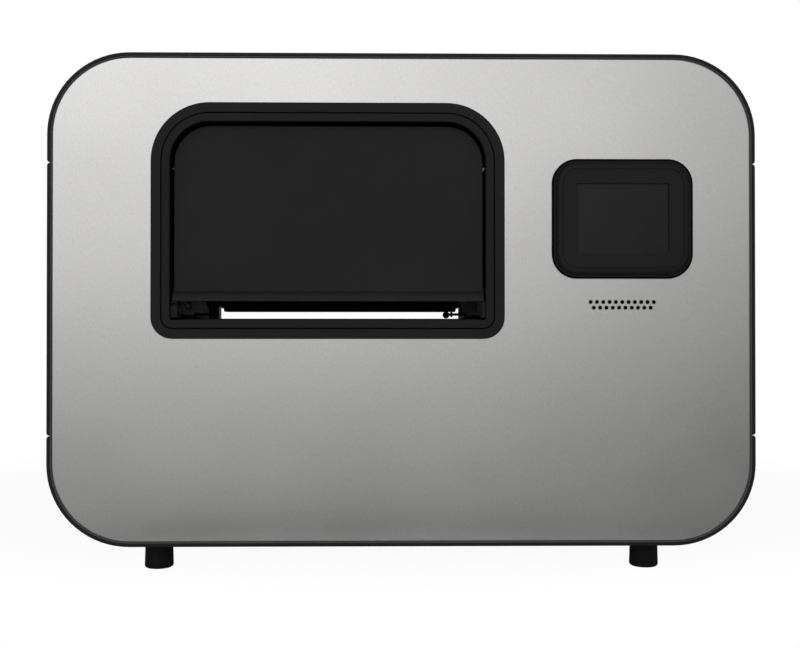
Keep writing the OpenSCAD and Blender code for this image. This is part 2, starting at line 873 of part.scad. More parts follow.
module speaker() {
  z = hole_z - hole_row_gap/2;
  color(deep_black) difference() {
    union() {
      box([pod_x - speaker_w/2, pod_x + speaker_w/2], [panel_back, panel_back + speaker_d],
        [z - speaker_h/2, z + speaker_h/2]);
      rod_y(speaker_magnet_r, [panel_back + speaker_d - over, panel_back + speaker_d + speaker_magnet_d],
        pod_x, z);
    }
    box([pod_x - speaker_w/2 + speaker_wall, pod_x + speaker_w/2 - speaker_wall],
      [panel_back - over, panel_back + speaker_d - speaker_wall],
      [z - speaker_h/2 + speaker_wall, z + speaker_h/2 - speaker_wall]);
  }
}

module feet() {
  r = foot_d/2;
  color(rubber) for (p = foot_spots) translate([p[0], p[1], 0]) rotate_extrude()
    polygon(concat([[foot_sink_r, 0]], arc([r - foot_edge, foot_edge], foot_edge, foot_edge, -90, 0, steps),
      [[r - foot_taper, foot_h], [foot_bore, foot_h], [foot_bore, foot_sink], [foot_sink_r, foot_sink]]));
}

module foot_screws() {
  low = foot_sink - screw_head_h;
  color(zinc) for (p = foot_spots) translate([p[0], p[1], 0]) difference() {
    rotate_extrude($fn = small_fn) polygon([[0, low], [screw_head_r, low], [screw_head_r, foot_sink],
      [screw_r, foot_sink], [screw_r, base_top], [0, base_top]]);
    translate([0, 0, low - over]) cylinder(r = hex_r, h = hex_deep + over, $fn = hex_fn);
  }
}

module lid_shell() {
  color(shell_black) difference() {
    translate([0, 0, body_mid]) shell_cap();
    for (x = hinge_spots) {
      box([x - hinge_len/2 - hinge_cut, x + hinge_len/2 + hinge_cut],
        [rear_y - hinge_r - hinge_cut, rear_y + over], [body_top - shell_t - over, body_top + over]);
      box([x - hinge_len/2 - hinge_cut, x + hinge_len/2 + hinge_cut],
        [rear_y - hinge_reach, rear_y], [body_top - hinge_leaf, body_top + over]);
    }
  }
}

module lid_leaves() {
  color(zinc) for (x = hinge_spots) difference() {
    union() {
      box([x - hinge_len/2, x + hinge_len/2], [rear_y - hinge_reach, rear_y - hinge_r - hinge_cut],
        [body_top - hinge_leaf, body_top]);
      for (side = [-1, 1]) {
        a = x + side*(hinge_mid/2 + hinge_gap);
        b = x + side*hinge_len/2;
        rod_x(hinge_r, [min(a, b), max(a, b)], rear_y, hinge_z);
        box([min(a, b), max(a, b)], [rear_y - hinge_r - hinge_cut - over, rear_y],
          [body_top - hinge_leaf, body_top]);
      }
    }
    rod_x(hinge_pin + play, [x - hinge_len, x + hinge_len], rear_y, hinge_z, $fn = small_fn);
  }
}

module body_leaves() {
  color(zinc) for (x = hinge_spots) difference() {
    union() {
      box([x - hinge_len/2, x + hinge_len/2], [rear_face, rear_face + hinge_leaf],
        [hinge_z - hinge_r - hinge_reach, hinge_z - hinge_r - hinge_cut]);
      box([x - hinge_mid/2, x + hinge_mid/2], [rear_face, rear_face + hinge_leaf],
        [hinge_z - hinge_r - hinge_reach, hinge_z]);
      rod_x(hinge_r, [x - hinge_mid/2, x + hinge_mid/2], rear_y, hinge_z);
    }
    rod_x(hinge_pin + fit, [x - hinge_len, x + hinge_len], rear_y, hinge_z, $fn = small_fn);
  }
}

module hinge_pins() {
  color(zinc) for (x = hinge_spots)
    rod_x(hinge_pin, [x - hinge_len/2, x + hinge_len/2], rear_y, hinge_z, $fn = small_fn);
}

// beam of an embossing head, nose down on z = 0, with the room for its punch bar
module head_beam() {
  cap_hw = nose_hw + (beam_hw - nose_hw)*nose_cap_up/(nose_h + over);
  difference() {
    union() {
      box([window_x - plate_in, window_x + plate_in], [-beam_hw, beam_hw], [nose_h, nose_h + beam_h]);
      along_x([head_x - head_len/2, head_x + head_len/2])
        polygon([[-nose_hw, 0], [nose_hw, 0], [beam_hw, nose_h + over], [-beam_hw, nose_h + over]]);
      along_x([head_x - head_len/2 - nose_cap, head_x + head_len/2 + nose_cap])
        polygon([[-cap_hw, nose_cap_up], [cap_hw, nose_cap_up], [beam_hw, nose_h + over],
          [-beam_hw, nose_h + over]]);
    }
    box([head_x - head_len/2 + punch_end - play, head_x + head_len/2 - punch_end + play],
      [-punch_hw - play, punch_hw + play], [-over, punch_room]);
  }
}

module head_coils() {
  for (i = [0:coil_count - 1], y = [-coil_row, coil_row])
    translate([window_x + (i - (coil_count - 1)/2)*coil_pitch, y, nose_h + beam_h]) {
      cylinder(r = coil_r, h = coil_h, $fn = small_fn);
      translate([0, 0, coil_h - over]) cylinder(r = cap_r, h = cap_h + over, $fn = small_fn);
    }
}

module punch_bar() {
  box([head_x - head_len/2 + punch_end, head_x + head_len/2 - punch_end], [-punch_hw, punch_hw],
    [punch_low, punch_low + punch_h]);
  for (i = [0:dot_count - 1])
    translate([head_x + (i - (dot_count - 1)/2)*dot_pitch - dot_r, -dot_r, punch_lift])
      cube([2*dot_r, 2*dot_r, punch_low - punch_lift + over]);
}

module upper_place() {
  translate([0, head_y, upper_z]) children();
}

module lower_place() {
  translate([0, head_y, lower_z]) rotate([180, 0, 0]) children();
}

module upper_head() {
  color(alloy) upper_place() head_beam();
}

module upper_solenoids() {
  color(copper) upper_place() head_coils();
}

module upper_punch() {
  color(zinc) upper_place() punch_bar();
}

module lower_head() {
  color(alloy) lower_place() head_beam();
}

module lower_solenoids() {
  color(copper) lower_place() head_coils();
}

module lower_punch() {
  color(zinc) lower_place() punch_bar();
}

module feed_shaft() {
  color(zinc) {
    box([plate_l + shaft_end, plate_r - shaft_end], [tractor_axis - shaft_s/2, tractor_axis + shaft_s/2],
      [tractor_z - shaft_s/2, tractor_z + shaft_s/2]);
    rod_x(journal_r, [plate_l - plate_t - bush_out, plate_l + shaft_end + over], tractor_axis, tractor_z);
    rod_x(journal_r, [plate_r - shaft_end - over, plate_r + plate_t + journal_out], tractor_axis, tractor_z);
  }
}

module bush() {
  difference() {
    union() {
      rod_x(bush_r, [-bush_flange_t, plate_t + bush_out], tractor_axis, tractor_z);
      rod_x(bush_flange, [-bush_flange_t, 0], tractor_axis, tractor_z);
    }
    rod_x(journal_r + play, [-plate_t, 2*plate_t + bush_out], tractor_axis, tractor_z);
  }
}

module shaft_bearings() {
  color(copper) {
    translate([plate_r, 0, 0]) bush();
    translate([plate_l, 0, 0]) mirror([1, 0, 0]) bush();
  }
}

module guide_rod() {
  color(alloy) rod_x(guide_r, [plate_l - plate_t - guide_out, plate_r + plate_t + guide_out], tractor_rod,
    tractor_z);
}

module right_place() {
  translate([window_x + pin_span/2, 0, 0]) children();
}

module left_place() {
  translate([window_x - pin_span/2, 0, 0]) mirror([1, 0, 0]) children();
}

// long round outline of the tractor, drawn in the plane along the paper
module tractor_outline(r) {
  translate([tractor_nose, tractor_z - r]) square([tractor_axis - tractor_nose, 2*r]);
  translate([tractor_nose, tractor_z]) circle(r = r);
  translate([tractor_axis, tractor_z]) circle(r = r);
}

module tractor_frame() {
  core = sprocket_r - play;
  ear_z = [tractor_z, gate_z + gate_rod + over];
  color(tractor_grey) difference() {
    union() {
      for (x = [-tractor_hw, tractor_hw - cheek_t]) along_x([x, x + cheek_t]) tractor_outline(cheek_r);
      rod_x(core, [-tractor_hw, tractor_hw], tractor_nose, tractor_z);
      box([-tractor_hw, tractor_hw], [tractor_nose, tractor_axis - sprocket_r - hub_room],
        [tractor_z - core, tractor_z + core]);
      for (y = [tractor_nose - gate_ear_end, tractor_axis + gate_ear_end - gate_ear])
        box([tractor_hw - cheek_t, gate_x + gate_rod + over], [y, y + gate_ear], ear_z);
      rod_y(gate_rod, [tractor_nose - gate_ear_end, tractor_axis + gate_ear_end], gate_x, gate_z,
        $fn = small_fn);
    }
    rod_x(hub_r + play, [-tractor_hw - over, tractor_hw + over], tractor_axis, tractor_z);
    rod_x(guide_r + play, [-tractor_hw - over, tractor_hw + over], tractor_rod, tractor_z);
  }
}

module pin_belt() {
  color(rubber) {
    along_x([-belt_hw, belt_hw]) difference() {
      tractor_outline(sprocket_r + belt_t);
      tractor_outline(sprocket_r);
    }
    for (i = [0:feed_pins - 1], s = [-1, 1])
      translate([0, (tractor_nose + tractor_axis)/2 + (i - (feed_pins - 1)/2)*feed_pitch,
          tractor_z + s*(sprocket_r + belt_t/2)])
        rotate([s > 0 ? 0 : 180, 0, 0])
          cylinder(r1 = feed_pin_r, r2 = feed_pin_tip, h = feed_pin_h + belt_t/2, $fn = small_fn);
  }
}

module sprocket() {
  side = tractor_hw - cheek_t - play;
  color(alloy) difference() {
    union() {
      rod_x(sprocket_r - play, [-side, side], tractor_axis, tractor_z);
      rod_x(hub_r, [-tractor_hw, tractor_hw], tractor_axis, tractor_z);
    }
    box([-tractor_hw - over, tractor_hw + over],
      [tractor_axis - shaft_s/2 - play, tractor_axis + shaft_s/2 + play],
      [tractor_z - shaft_s/2 - play, tractor_z + shaft_s/2 + play]);
  }
}

// paper gate with a finger knob on a short stem
module gate() {
  low = paper_z + gate_lift;
  y = [tractor_nose - gate_ear_end + gate_ear + play, tractor_axis + gate_ear_end - gate_ear - play];
  knob_z = paper_z + knob_up;
  color(deep_black) difference() {
    union() {
      box([-tractor_hw, gate_x], y, [low, low + gate_t]);
      rod_y(gate_barrel, y, gate_x, gate_z, $fn = small_fn);
      box([-tractor_hw, knob_boss - tractor_hw], [tractor_nose - knob_boss, tractor_nose + knob_boss],
        [low, knob_z + knob_stem + half]);
      rod_x(knob_stem, [knob_x, -tractor_hw + over], tractor_nose, knob_z, $fn = small_fn);
      rod_x(knob_disc, [knob_disc_x, knob_disc_x + knob_disc_t], tractor_nose, knob_z, $fn = small_fn);
      translate([knob_x, tractor_nose, knob_z - knob_drop]) sphere(r = knob_r, $fn = small_fn);
      translate([knob_x, tractor_nose, knob_z])
        cylinder(r = knob_arm, h = knob_arm_h, $fn = small_fn);
    }
    rod_y(gate_rod + play, [y[0] - over, y[1] + over], gate_x, gate_z, $fn = small_fn);
    box([-gate_slot, gate_slot], [tractor_nose - gate_slot_over, tractor_axis + gate_slot_over],
      [low - over, low + gate_t + over]);
  }
}

module left_tractor() {
  left_place() tractor_frame();
}

module left_pin_belt() {
  left_place() pin_belt();
}

module left_sprocket() {
  left_place() sprocket();
}

module left_gate() {
  left_place() gate();
}

module right_tractor() {
  right_place() tractor_frame();
}

module right_pin_belt() {
  right_place() pin_belt();
}

module right_sprocket() {
  right_place() sprocket();
}

module right_gate() {
  right_place() gate();
}

module motor_outline(s) {
  c = s - motor_cut;
  translate([tractor_axis, drive_z])
    polygon([[-s, -c], [-c, -s], [c, -s], [s, -c], [s, c], [c, s], [-c, s], [-s, c]]);
}

// stepping motor: a stack of plates between two end caps
module feed_motor() {
  back = plate_r - motor_len;
  color(deep_black) difference() {
    union() {
      for (x = [back, plate_r - motor_cap]) along_x([x, x + motor_cap]) motor_outline(motor_s/2);
      along_x([back + motor_cap/2, plate_r - motor_cap/2]) motor_outline(motor_s/2 - motor_step);
      rod_x(motor_boss, [plate_r - over, plate_r + motor_boss_t], tractor_axis, drive_z);
    }
    rod_x(spindle_r + play, [plate_r - motor_len/2, plate_r + motor_len], tractor_axis, drive_z,
      $fn = small_fn);
  }
}

module pulley(r) {
  x = loop_x - pulley_w/2;
  rod_x(r, [x, x + pulley_w], tractor_axis, 0);
  for (e = [x, x + pulley_w - pulley_rim]) rod_x(r + pulley_rim_r, [e, e + pulley_rim], tractor_axis, 0);
}

module motor_pulley() {
  color(alloy) translate([0, 0, drive_z]) {
    pulley(pulley_small);
    rod_x(spindle_r, [plate_r - motor_len/2 + over, loop_x + pulley_w/2 + over], tractor_axis, 0,
      $fn = small_fn);
  }
}

module shaft_pulley() {
  color(alloy) translate([0, 0, tractor_z]) difference() {
    pulley(pulley_big);
    rod_x(journal_r + fit, [loop_x - pulley_w, loop_x + pulley_w], tractor_axis, 0);
  }
}

function loop(grow) = let (a = pulley_big + grow, b = pulley_small + grow,
    lean = asin((pulley_big - pulley_small)/drive_drop))
  concat(arc([tractor_axis, tractor_z], a, a, -lean, 180 + lean, loop_steps),
    arc([tractor_axis, drive_z], b, b, 180 + lean, 360 - lean, loop_steps));

module feed_belt() {
  color(rubber) along_x([loop_x - loop_w/2, loop_x + loop_w/2]) difference() {
    polygon(loop(play + loop_t));
    polygon(loop(play));
  }
}

// front guide between tractors and lower head, with a down-turned seat on the beam
module exit_guide() {
  x = [window_x - pin_span/2 + tractor_hw, window_x + pin_span/2 - tractor_hw];
  y = [tractor_axis + sprocket_r + belt_t + guide_gap, head_y - beam_hw];
  color(zinc) along_x(x) polygon([[y[0], guide_z - guide_t], [y[0], guide_z], [y[1], guide_z],
    [y[1], guide_z - guide_flange], [y[1] - guide_t, guide_z - guide_flange],
    [y[1] - guide_t, guide_z - guide_t]]);
}

module intake_guide() {
  x = [intake_x - intake_w/2 + intake_wall, intake_x + intake_w/2 - intake_wall];
  a = head_y + beam_hw;
  b = rear_y;
  color(zinc) along_x(x) polygon([[a, guide_z], [b, guide_z], [b + guide_tip - half, guide_z - guide_t],
    [a + guide_t, guide_z - guide_t], [a + guide_t, guide_z - guide_flange], [a, guide_z - guide_flange]]);
}

module intake_frame() {
  color(deep_black) difference() {
    union() {
      stand(intake_x, rear_face + intake_rim_t, 0) linear_extrude(intake_rim_t) intake_outline(intake_rim);
      stand(intake_x, rear_face, 0) linear_extrude(intake_deep) intake_outline(intake_wall);
    }
    stand(intake_x, rear_y + over, 0) linear_extrude(intake_deep + 2*panel_recess + 2*over)
      intake_outline(0);
  }
}

module power_supply() {
  color(zinc) difference() {
    box(supply_x, supply_y, [base_top, base_top + supply_h]);
    for (i = [0:supply_slots - 1])
      translate([(supply_x[0] + supply_x[1])/2, (supply_y[0] + supply_y[1])/2
          + (i - (supply_slots - 1)/2)*supply_slot_pitch, base_top + supply_h - supply_wall])
        box([-supply_slot[0]/2, supply_slot[0]/2], [-supply_slot[1]/2, supply_slot[1]/2],
          [0, supply_wall + over]);
  }
}

module control_board() {
  color(board_green) box(board_x, board_y, [board_z, board_z + board_t]);
}

// heat sink, capacitors and cable sockets on the control board
module board_parts() {
  z = board_z + board_t;
  mid = [(board_x[0] + board_x[1])/2, (board_y[0] + board_y[1])/2];
  color(alloy) translate([mid[0] - sink_size[0], mid[1] - sink_size[1]/2, z]) {
    cube([sink_size[0], sink_size[1], sink_base]);
    for (i = [0:sink_fins - 1]) translate([i*(sink_size[0] - sink_fin)/(sink_fins - 1), 0, 0])
      cube([sink_fin, sink_size[1], sink_size[2]]);
  }
  color(glass_dark) for (i = [0:2]) translate([mid[0] + 2*cap_size[0], mid[1] + i*3*cap_size[0], z])
    cylinder(r = cap_size[0], h = cap_size[1], $fn = small_fn);
  color(alloy) for (i = [0:2])
    translate([mid[0] + cap_size[0], board_y[0] + post_in*2 + i*(plug_size[1] - plug_size[0]), z])
      cube([plug_size[1], plug_size[0], plug_size[2]]);
}

module fan_frame() {
  s = fan_s/2;
  y = [rear_back - fan_d, rear_back];
  color(deep_black) difference() {
    union() {
      difference() {
        box([fan_x - s, fan_x + s], y, [fan_z - s, fan_z + s]);
        rod_y(s - fan_wall, [y[0] - over, y[1] + over], fan_x, fan_z);
      }
      box([fan_x - s, fan_x + s], [y[0], y[0] + fan_strut_t], [fan_z - fan_strut/2, fan_z + fan_strut/2]);
      box([fan_x - fan_strut/2, fan_x + fan_strut/2], [y[0], y[0] + fan_strut_t], [fan_z - s, fan_z + s]);
      rod_y(fan_hub, [y[0], y[0] + fan_strut_t], fan_x, fan_z);
    }
    rod_y(fan_axle + play, [y[0] - over, y[1]], fan_x, fan_z, $fn = small_fn);
  }
}

module fan_rotor() {
  y = [rear_back - fan_d + fan_strut_t + over, rear_back - over];
  r = fan_s/2 - fan_wall - fan_tip;
  color(glass_dark) {
    rod_y(fan_hub, y, fan_x, fan_z);
    rod_y(fan_axle, [rear_back - fan_d, y[0] + over], fan_x, fan_z, $fn = small_fn);
    for (i = [0:fan_blades - 1]) translate([fan_x, (y[0] + y[1])/2, fan_z]) rotate([0, i*360/fan_blades, 0])
      translate([fan_hub - over, 0, 0]) rotate([blade_tilt, 0, 0])
        translate([0, -blade_w/2, -blade_t/2]) cube([r - fan_hub, blade_w, blade_t]);
  }
}

// mains inlet with its socket on the left and the seat of the power rocker on the right
module power_inlet() {
  w = inlet_body[1]/2;
  h = inlet_body[0]/2;
  out = socket_face + inlet_rim_t;
  sx = inlet_x + socket_off;
  color(deep_black) difference() {
    union() {
      box([inlet_x - w, inlet_x + w], [socket_back - inlet_body[2], out], [inlet_z - h, inlet_z + h]);
      box([inlet_x - w - inlet_rim, inlet_x + w + inlet_rim], [socket_face, out],
        [inlet_z - h - inlet_rim, inlet_z + h + inlet_rim]);
    }
    translate([sx, out + over, inlet_z]) rotate([90, 0, 0]) linear_extrude(socket_deep + over)
      polygon([[-socket_w/2, -socket_h/2], [socket_w/2, -socket_h/2], [socket_w/2, socket_h/2 - socket_cut],
        [socket_w/2 - socket_cut, socket_h/2], [socket_cut - socket_w/2, socket_h/2],
        [-socket_w/2, socket_h/2 - socket_cut]]);
    box([inlet_x + rocker_off - rocker_h/2, inlet_x + rocker_off + rocker_h/2],
      [out - rocker_deep, out + over], [inlet_z - rocker_w/2, inlet_z + rocker_w/2]);
    rod_x(rocker_axle + play, [inlet_x + rocker_off - rocker_h/2 - rocker_stub - play,
      inlet_x + rocker_off + rocker_h/2 + rocker_stub + play], out - rocker_sink, inlet_z, $fn = small_fn);
  }
  color(alloy) for (p = [[-blade_gap, -blade_off], [0, blade_off], [blade_gap, -blade_off]])
    translate([sx + p[0] - blade_pin[0]/2, out - socket_deep - over, inlet_z + p[1] - blade_pin[1]/2])
      cube([blade_pin[0], blade_pin[2] + over, blade_pin[1]]);
}

// rocker lying in its off position; it tips about a pin along x
module power_rocker() {
  w = rocker_w/2 - rocker_fit - over;
  x = [inlet_x + rocker_off - rocker_h/2, inlet_x + rocker_off + rocker_h/2];
  face = rocker_sink - half;
  edge = face + rocker_out;
  color(glass_dark) translate([0, socket_face + inlet_rim_t - rocker_sink, inlet_z])
    rotate([rocker_tilt, 0, 0]) {
      along_x([x[0] + rocker_fit, x[1] - rocker_fit]) polygon([[-rocker_sink, -w/2], [-rocker_sink, w/2],
        [0, w], [edge, w], [face, 0], [edge, -w], [0, -w]]);
      rod_x(rocker_axle, [x[0] - rocker_stub, x[1] + rocker_stub], 0, 0, $fn = small_fn);
    }
}

module data_ports() {
  w = ports_size[0]/2;
  h = ports_size[1]/2;
  out = socket_face + ports_rim;
  color(deep_black) difference() {
    union() {
      box([ports_x - w, ports_x + w], [socket_back - ports_size[2], out], [ports_z - h, ports_z + h]);
      box([ports_x - w - ports_rim, ports_x + w + ports_rim], [socket_face, out],
        [ports_z - h - ports_rim, ports_z + h + ports_rim]);
    }
    box([ports_x - port_gap - port_a[0]/2, ports_x - port_gap + port_a[0]/2], [out - port_deep, out + over],
      [ports_z - port_a[1]/2, ports_z + port_a[1]/2]);
    box([ports_x + port_gap - port_b[0]/2, ports_x + port_gap + port_b[0]/2], [out - port_deep, out + over],
      [ports_z - port_b[1]/2, ports_z + port_b[1]/2]);
  }
}

module rear_screws() {
  color(zinc) for (p = rear_spots) difference() {
    union() {
      rod_y(pan_head_r, [rear_face, rear_face + pan_head_h - half], p[0], p[1], $fn = small_fn);
      rod_y(pan_screw_r, [rear_back - pan_screw_len + over, rear_face + half], p[0], p[1], $fn = small_fn);
    }
    box([p[0] - pan_head_r, p[0] + pan_head_r], [rear_face + pan_slot, rear_y + over],
      [p[1] - pan_slot/2, p[1] + pan_slot/2]);
  }
}

base_tray();
left_side_panel();
right_side_panel();
front_panel();
rear_panel();
socket_plate();
tie_bars();
base_plate();
left_plate();
right_plate();
window_frame();
window_liner();
flap_stops();
flap_catch();
flap_rod();
flap();
display_pod();
display_glass();
display_module();
speaker();
feet();
foot_screws();
lid_shell();
lid_leaves();
body_leaves();
hinge_pins();
upper_head();
upper_solenoids();
upper_punch();
lower_head();
lower_solenoids();
lower_punch();
feed_shaft();
shaft_bearings();
guide_rod();
left_tractor();
left_pin_belt();
left_sprocket();
left_gate();
right_tractor();
right_pin_belt();
right_sprocket();
right_gate();
feed_motor();
motor_pulley();
shaft_pulley();
feed_belt();
exit_guide();
intake_guide();
intake_frame();
power_supply();
control_board();
board_parts();
fan_frame();
fan_rotor();
power_inlet();
power_rocker();
data_ports();
rear_screws();
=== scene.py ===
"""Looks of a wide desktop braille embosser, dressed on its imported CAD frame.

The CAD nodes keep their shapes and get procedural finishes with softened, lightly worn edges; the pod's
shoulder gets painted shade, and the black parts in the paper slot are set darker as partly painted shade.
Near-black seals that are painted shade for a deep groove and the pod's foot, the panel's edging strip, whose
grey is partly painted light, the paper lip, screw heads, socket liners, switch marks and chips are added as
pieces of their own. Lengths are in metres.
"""
import json
import math

import bmesh
import bpy
from mathutils import Matrix, Vector


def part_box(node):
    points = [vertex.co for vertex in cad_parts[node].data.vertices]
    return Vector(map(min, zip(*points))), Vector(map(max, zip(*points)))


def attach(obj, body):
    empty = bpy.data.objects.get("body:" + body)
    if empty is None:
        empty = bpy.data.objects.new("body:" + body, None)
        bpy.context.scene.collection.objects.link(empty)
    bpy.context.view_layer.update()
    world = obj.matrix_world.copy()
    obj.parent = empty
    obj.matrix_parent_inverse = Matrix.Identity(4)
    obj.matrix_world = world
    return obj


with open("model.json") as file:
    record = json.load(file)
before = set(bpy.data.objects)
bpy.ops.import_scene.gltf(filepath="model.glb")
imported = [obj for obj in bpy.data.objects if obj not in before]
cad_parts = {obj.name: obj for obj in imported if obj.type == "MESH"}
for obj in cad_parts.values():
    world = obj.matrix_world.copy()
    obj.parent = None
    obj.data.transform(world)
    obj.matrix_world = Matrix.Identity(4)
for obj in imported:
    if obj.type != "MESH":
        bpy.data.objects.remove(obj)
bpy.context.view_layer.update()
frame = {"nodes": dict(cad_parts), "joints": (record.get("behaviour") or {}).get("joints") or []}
nodes = frame["nodes"]

MM = 0.001
RIGHT, UP, BACK = Vector((1, 0, 0)), Vector((0, 0, 1)), Vector((0, 1, 0))

# Radius and samples of the softened edges; their wear by the cosine of the turn and by the patch noise
SOFT_EDGE, SOFT_SAMPLES = 0.45*MM, 4
WORN_TURN, WORN_PATCH = (0.7, 0.97), (0.42, 0.62)

# Sizes that the added pieces share with the CAD solids
FRAME_WIDTH, GROOVE_AT, WINDOW_RADII = 20*MM, 9*MM, (42*MM, 2.7*MM)
POD_RADIUS, POD_STEP = 26*MM, 1.5*MM
PANEL_RADIUS = 83.1*MM
LINER_FLANGE = 14*MM
HINGE_X = 220*MM
LEAF = 1.8*MM
PORT_GAP = 10*MM
ROCKER_TILT = math.radians(9)

# Faces that pieces sit on
PANEL_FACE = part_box("front_panel")[0][1]
REAR_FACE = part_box("rear_panel")[1][1]

# Painted shade on the pod's shoulder: its colour darkens to this share of itself along Y,
# from just behind its face to just before its ledge
POD_PAINTED_SHADE = 0.62
POD_FACE, POD_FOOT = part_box("display_pod")[0][1] + 0.3*MM, PANEL_FACE - 1.6*MM


# Shader graphs

class Graph:
    """A material's node tree with its Principled shader, and short calls to add and link nodes."""

    def __init__(self, name):
        self.material = bpy.data.materials.new(name)
        self.material.use_nodes = True
        self.tree = self.material.node_tree
        self.shader = self.tree.nodes["Principled BSDF"]
        self.place = self.add("ShaderNodeTexCoord").outputs["Object"]

    def add(self, kind, links=None, values=None, **settings):
        """A new node; settings are its properties, values its sockets and links what feeds them."""
        node = self.tree.nodes.new(kind)
        for key, value in settings.items():
            setattr(node, key, value)
        for key, value in (values or {}).items():
            node.inputs[key].default_value = value
        for key, source in (links or {}).items():
            self.tree.links.new(source, node.inputs[key])
        return node

    def set(self, **sockets):
        """Sets sockets of the shader; an underscore in a name stands for a space."""
        for key, value in sockets.items():
            self.shader.inputs[key.replace("_", " ")].default_value = value

    def feed(self, socket, source):
        self.tree.links.new(source, self.shader.inputs[socket])

    def math(self, operation, first, second):
        return self.add("ShaderNodeMath", {0: first, 1: second}, operation=operation).outputs["Value"]

    def grain(self, size, turn=(0, 0, 0)):
        """Coordinates for a pattern whose features have the given size on each axis, turned in place."""
        return self.add("ShaderNodeMapping", {"Vector": self.place}, {"Scale": size, "Rotation": turn},
                        vector_type="TEXTURE").outputs["Vector"]

    def noise(self, scale, detail=2.0, vector=None, rough=0.5):
        return self.add("ShaderNodeTexNoise", {"Vector": vector or self.place},
                        {"Scale": scale, "Detail": detail, "Roughness": rough}).outputs["Fac"]

    def spread(self, source, low, high, start=0.3, end=0.7):
        """Maps a pattern onto a range of numbers."""
        limits = {"From Min": start, "From Max": end, "To Min": low, "To Max": high}
        return self.add("ShaderNodeMapRange", {"Value": source}, limits).outputs["Result"]

    def blend(self, source, first, second):
        """Mixes two colours by a pattern; each is a plain colour or the output of a node."""
        mix = self.add("ShaderNodeMix", {"Factor": source}, data_type="RGBA")
        for socket, colour in (("A", first), ("B", second)):
            if isinstance(colour, tuple):
                mix.inputs[socket].default_value = (*colour, 1)
            else:
                self.tree.links.new(colour, mix.inputs[socket])
        return mix.outputs["Result"]

    def soften(self, height, strength, distance):
        """Feeds the shader a bumped normal over edges that are rounded a little."""
        self.rounded = self.add("ShaderNodeBevel", values={"Radius": SOFT_EDGE},
                                samples=SOFT_SAMPLES).outputs["Normal"]
        self.feed("Normal", self.add("ShaderNodeBump", {"Height": height, "Normal": self.rounded},
                                     {"Strength": strength, "Distance": distance}).outputs["Normal"])

    def worn(self, patches):
        """A mask along the rounded edges, broken up into patches; soften comes first."""
        flat = self.add("ShaderNodeNewGeometry").outputs["Normal"]
        turn = self.add("ShaderNodeVectorMath", {0: flat, 1: self.rounded},
                        operation="DOT_PRODUCT").outputs["Value"]
        return self.math("MULTIPLY", self.spread(turn, 1, 0, *WORN_TURN),
                         self.spread(self.noise(patches, detail=3.0), 0, 1, *WORN_PATCH))


def shade(colour, factor):
    return tuple(c*factor for c in colour)


def grained_steel(name, colour):
    """Sheet with a fine rolled grain: short streaks that lean, in tone and height, and a cloudy gloss."""
    g = Graph(name)
    lean = (0, math.radians(18), 0)
    long, short = (1.1*MM, 1.1*MM, 4.6*MM), (0.5*MM, 0.5*MM, 1.6*MM)
    streak = g.noise(1.0, 3.0, g.grain(long, lean), rough=0.6)
    fine = g.noise(1.0, 2.0, g.grain(short, lean))
    cloud = g.noise(6.0)
    relief = g.math("ADD", streak, fine)
    g.soften(relief, strength=0.28, distance=0.2*MM)
    tone = g.blend(g.spread(relief, 0, 1, 0.7, 1.3), shade(colour, 0.9), shade(colour, 1.1))
    g.feed("Base Color", g.blend(g.worn(90), tone, shade(colour, 1.12)))
    g.feed("Roughness", g.spread(cloud, 0.29, 0.34))
    g.set(Metallic=1.0)
    return g.material


def moulded(name, colour, rough=0.55, level=0.3, pore=1.1*MM, depth=0.12, foot=None):
    """Moulded or coated plastic with an eroded skin, faint flow clouds and rubbed edges.

    A piece with a foot gets painted shade: its colour darkens along Y, from the first of its two places to
    the second.
    """
    g = Graph(name)
    skin = g.noise(1.0, 2.0, g.grain((pore, pore, pore)))
    cloud = g.noise(14.0, detail=3.0)
    g.soften(skin, depth, distance=0.1*MM)
    edge = g.worn(120)
    tone = g.blend(g.spread(cloud, 0, 1), shade(colour, 0.9), shade(colour, 1.12))
    # Painted shade: darker along Y towards the foot, standing in for the shade on a tilted shoulder
    if foot:
        along = g.add("ShaderNodeSeparateXYZ", {"Vector": g.place}).outputs["Y"]
        tone = g.blend(g.spread(along, 0, 1, *foot), tone, shade(colour, POD_PAINTED_SHADE))
    g.feed("Base Color", g.blend(edge, tone, shade(colour, 1.9)))
    g.feed("Roughness", g.math("SUBTRACT", g.spread(skin, rough - 0.06, rough + 0.06),
                               g.spread(edge, 0, 0.12, 0, 1)))
    g.set(Specular_IOR_Level=level)
    return g.material


def rubber(name, colour, level=0.2):
    """Soft matt rubber with rubbed, slightly dusty patches."""
    g = Graph(name)
    skin = g.noise(900, detail=3.0)
    dust = g.noise(40, detail=4.0, rough=0.7)
    g.soften(skin, strength=0.15, distance=0.2*MM)
    tone = g.blend(g.spread(dust, 0, 1, 0.45, 0.8), colour, shade(colour, 1.8))
    g.feed("Base Color", g.blend(g.worn(150), tone, shade(colour, 2.4)))
    g.feed("Roughness", g.spread(skin, 0.7, 0.9))
    g.set(Specular_IOR_Level=level)
    return g.material


def plated_sheet(name, colour):
    """Zinc plated sheet with a faint flower of crystals and rolling lines."""
    g = Graph(name)
    flower = g.add("ShaderNodeTexVoronoi", {"Vector": g.place}, {"Scale": 160.0}).outputs["Color"]
    grey = g.add("ShaderNodeRGBToBW", {"Color": flower}).outputs["Val"]
    rolling = g.noise(1.0, 2.0, g.grain((0.7*MM, 25*MM, 0.7*MM)))
    g.soften(rolling, strength=0.05, distance=0.2*MM)
    tone = g.blend(g.spread(grey, 0, 1, 0.2, 0.8), shade(colour, 0.9), shade(colour, 1.08))
    g.feed("Base Color", g.blend(g.worn(70), tone, shade(colour, 1.25)))
    g.feed("Roughness", g.spread(grey, 0.32, 0.46, 0.2, 0.8))
    g.set(Metallic=1.0)
    return g.material


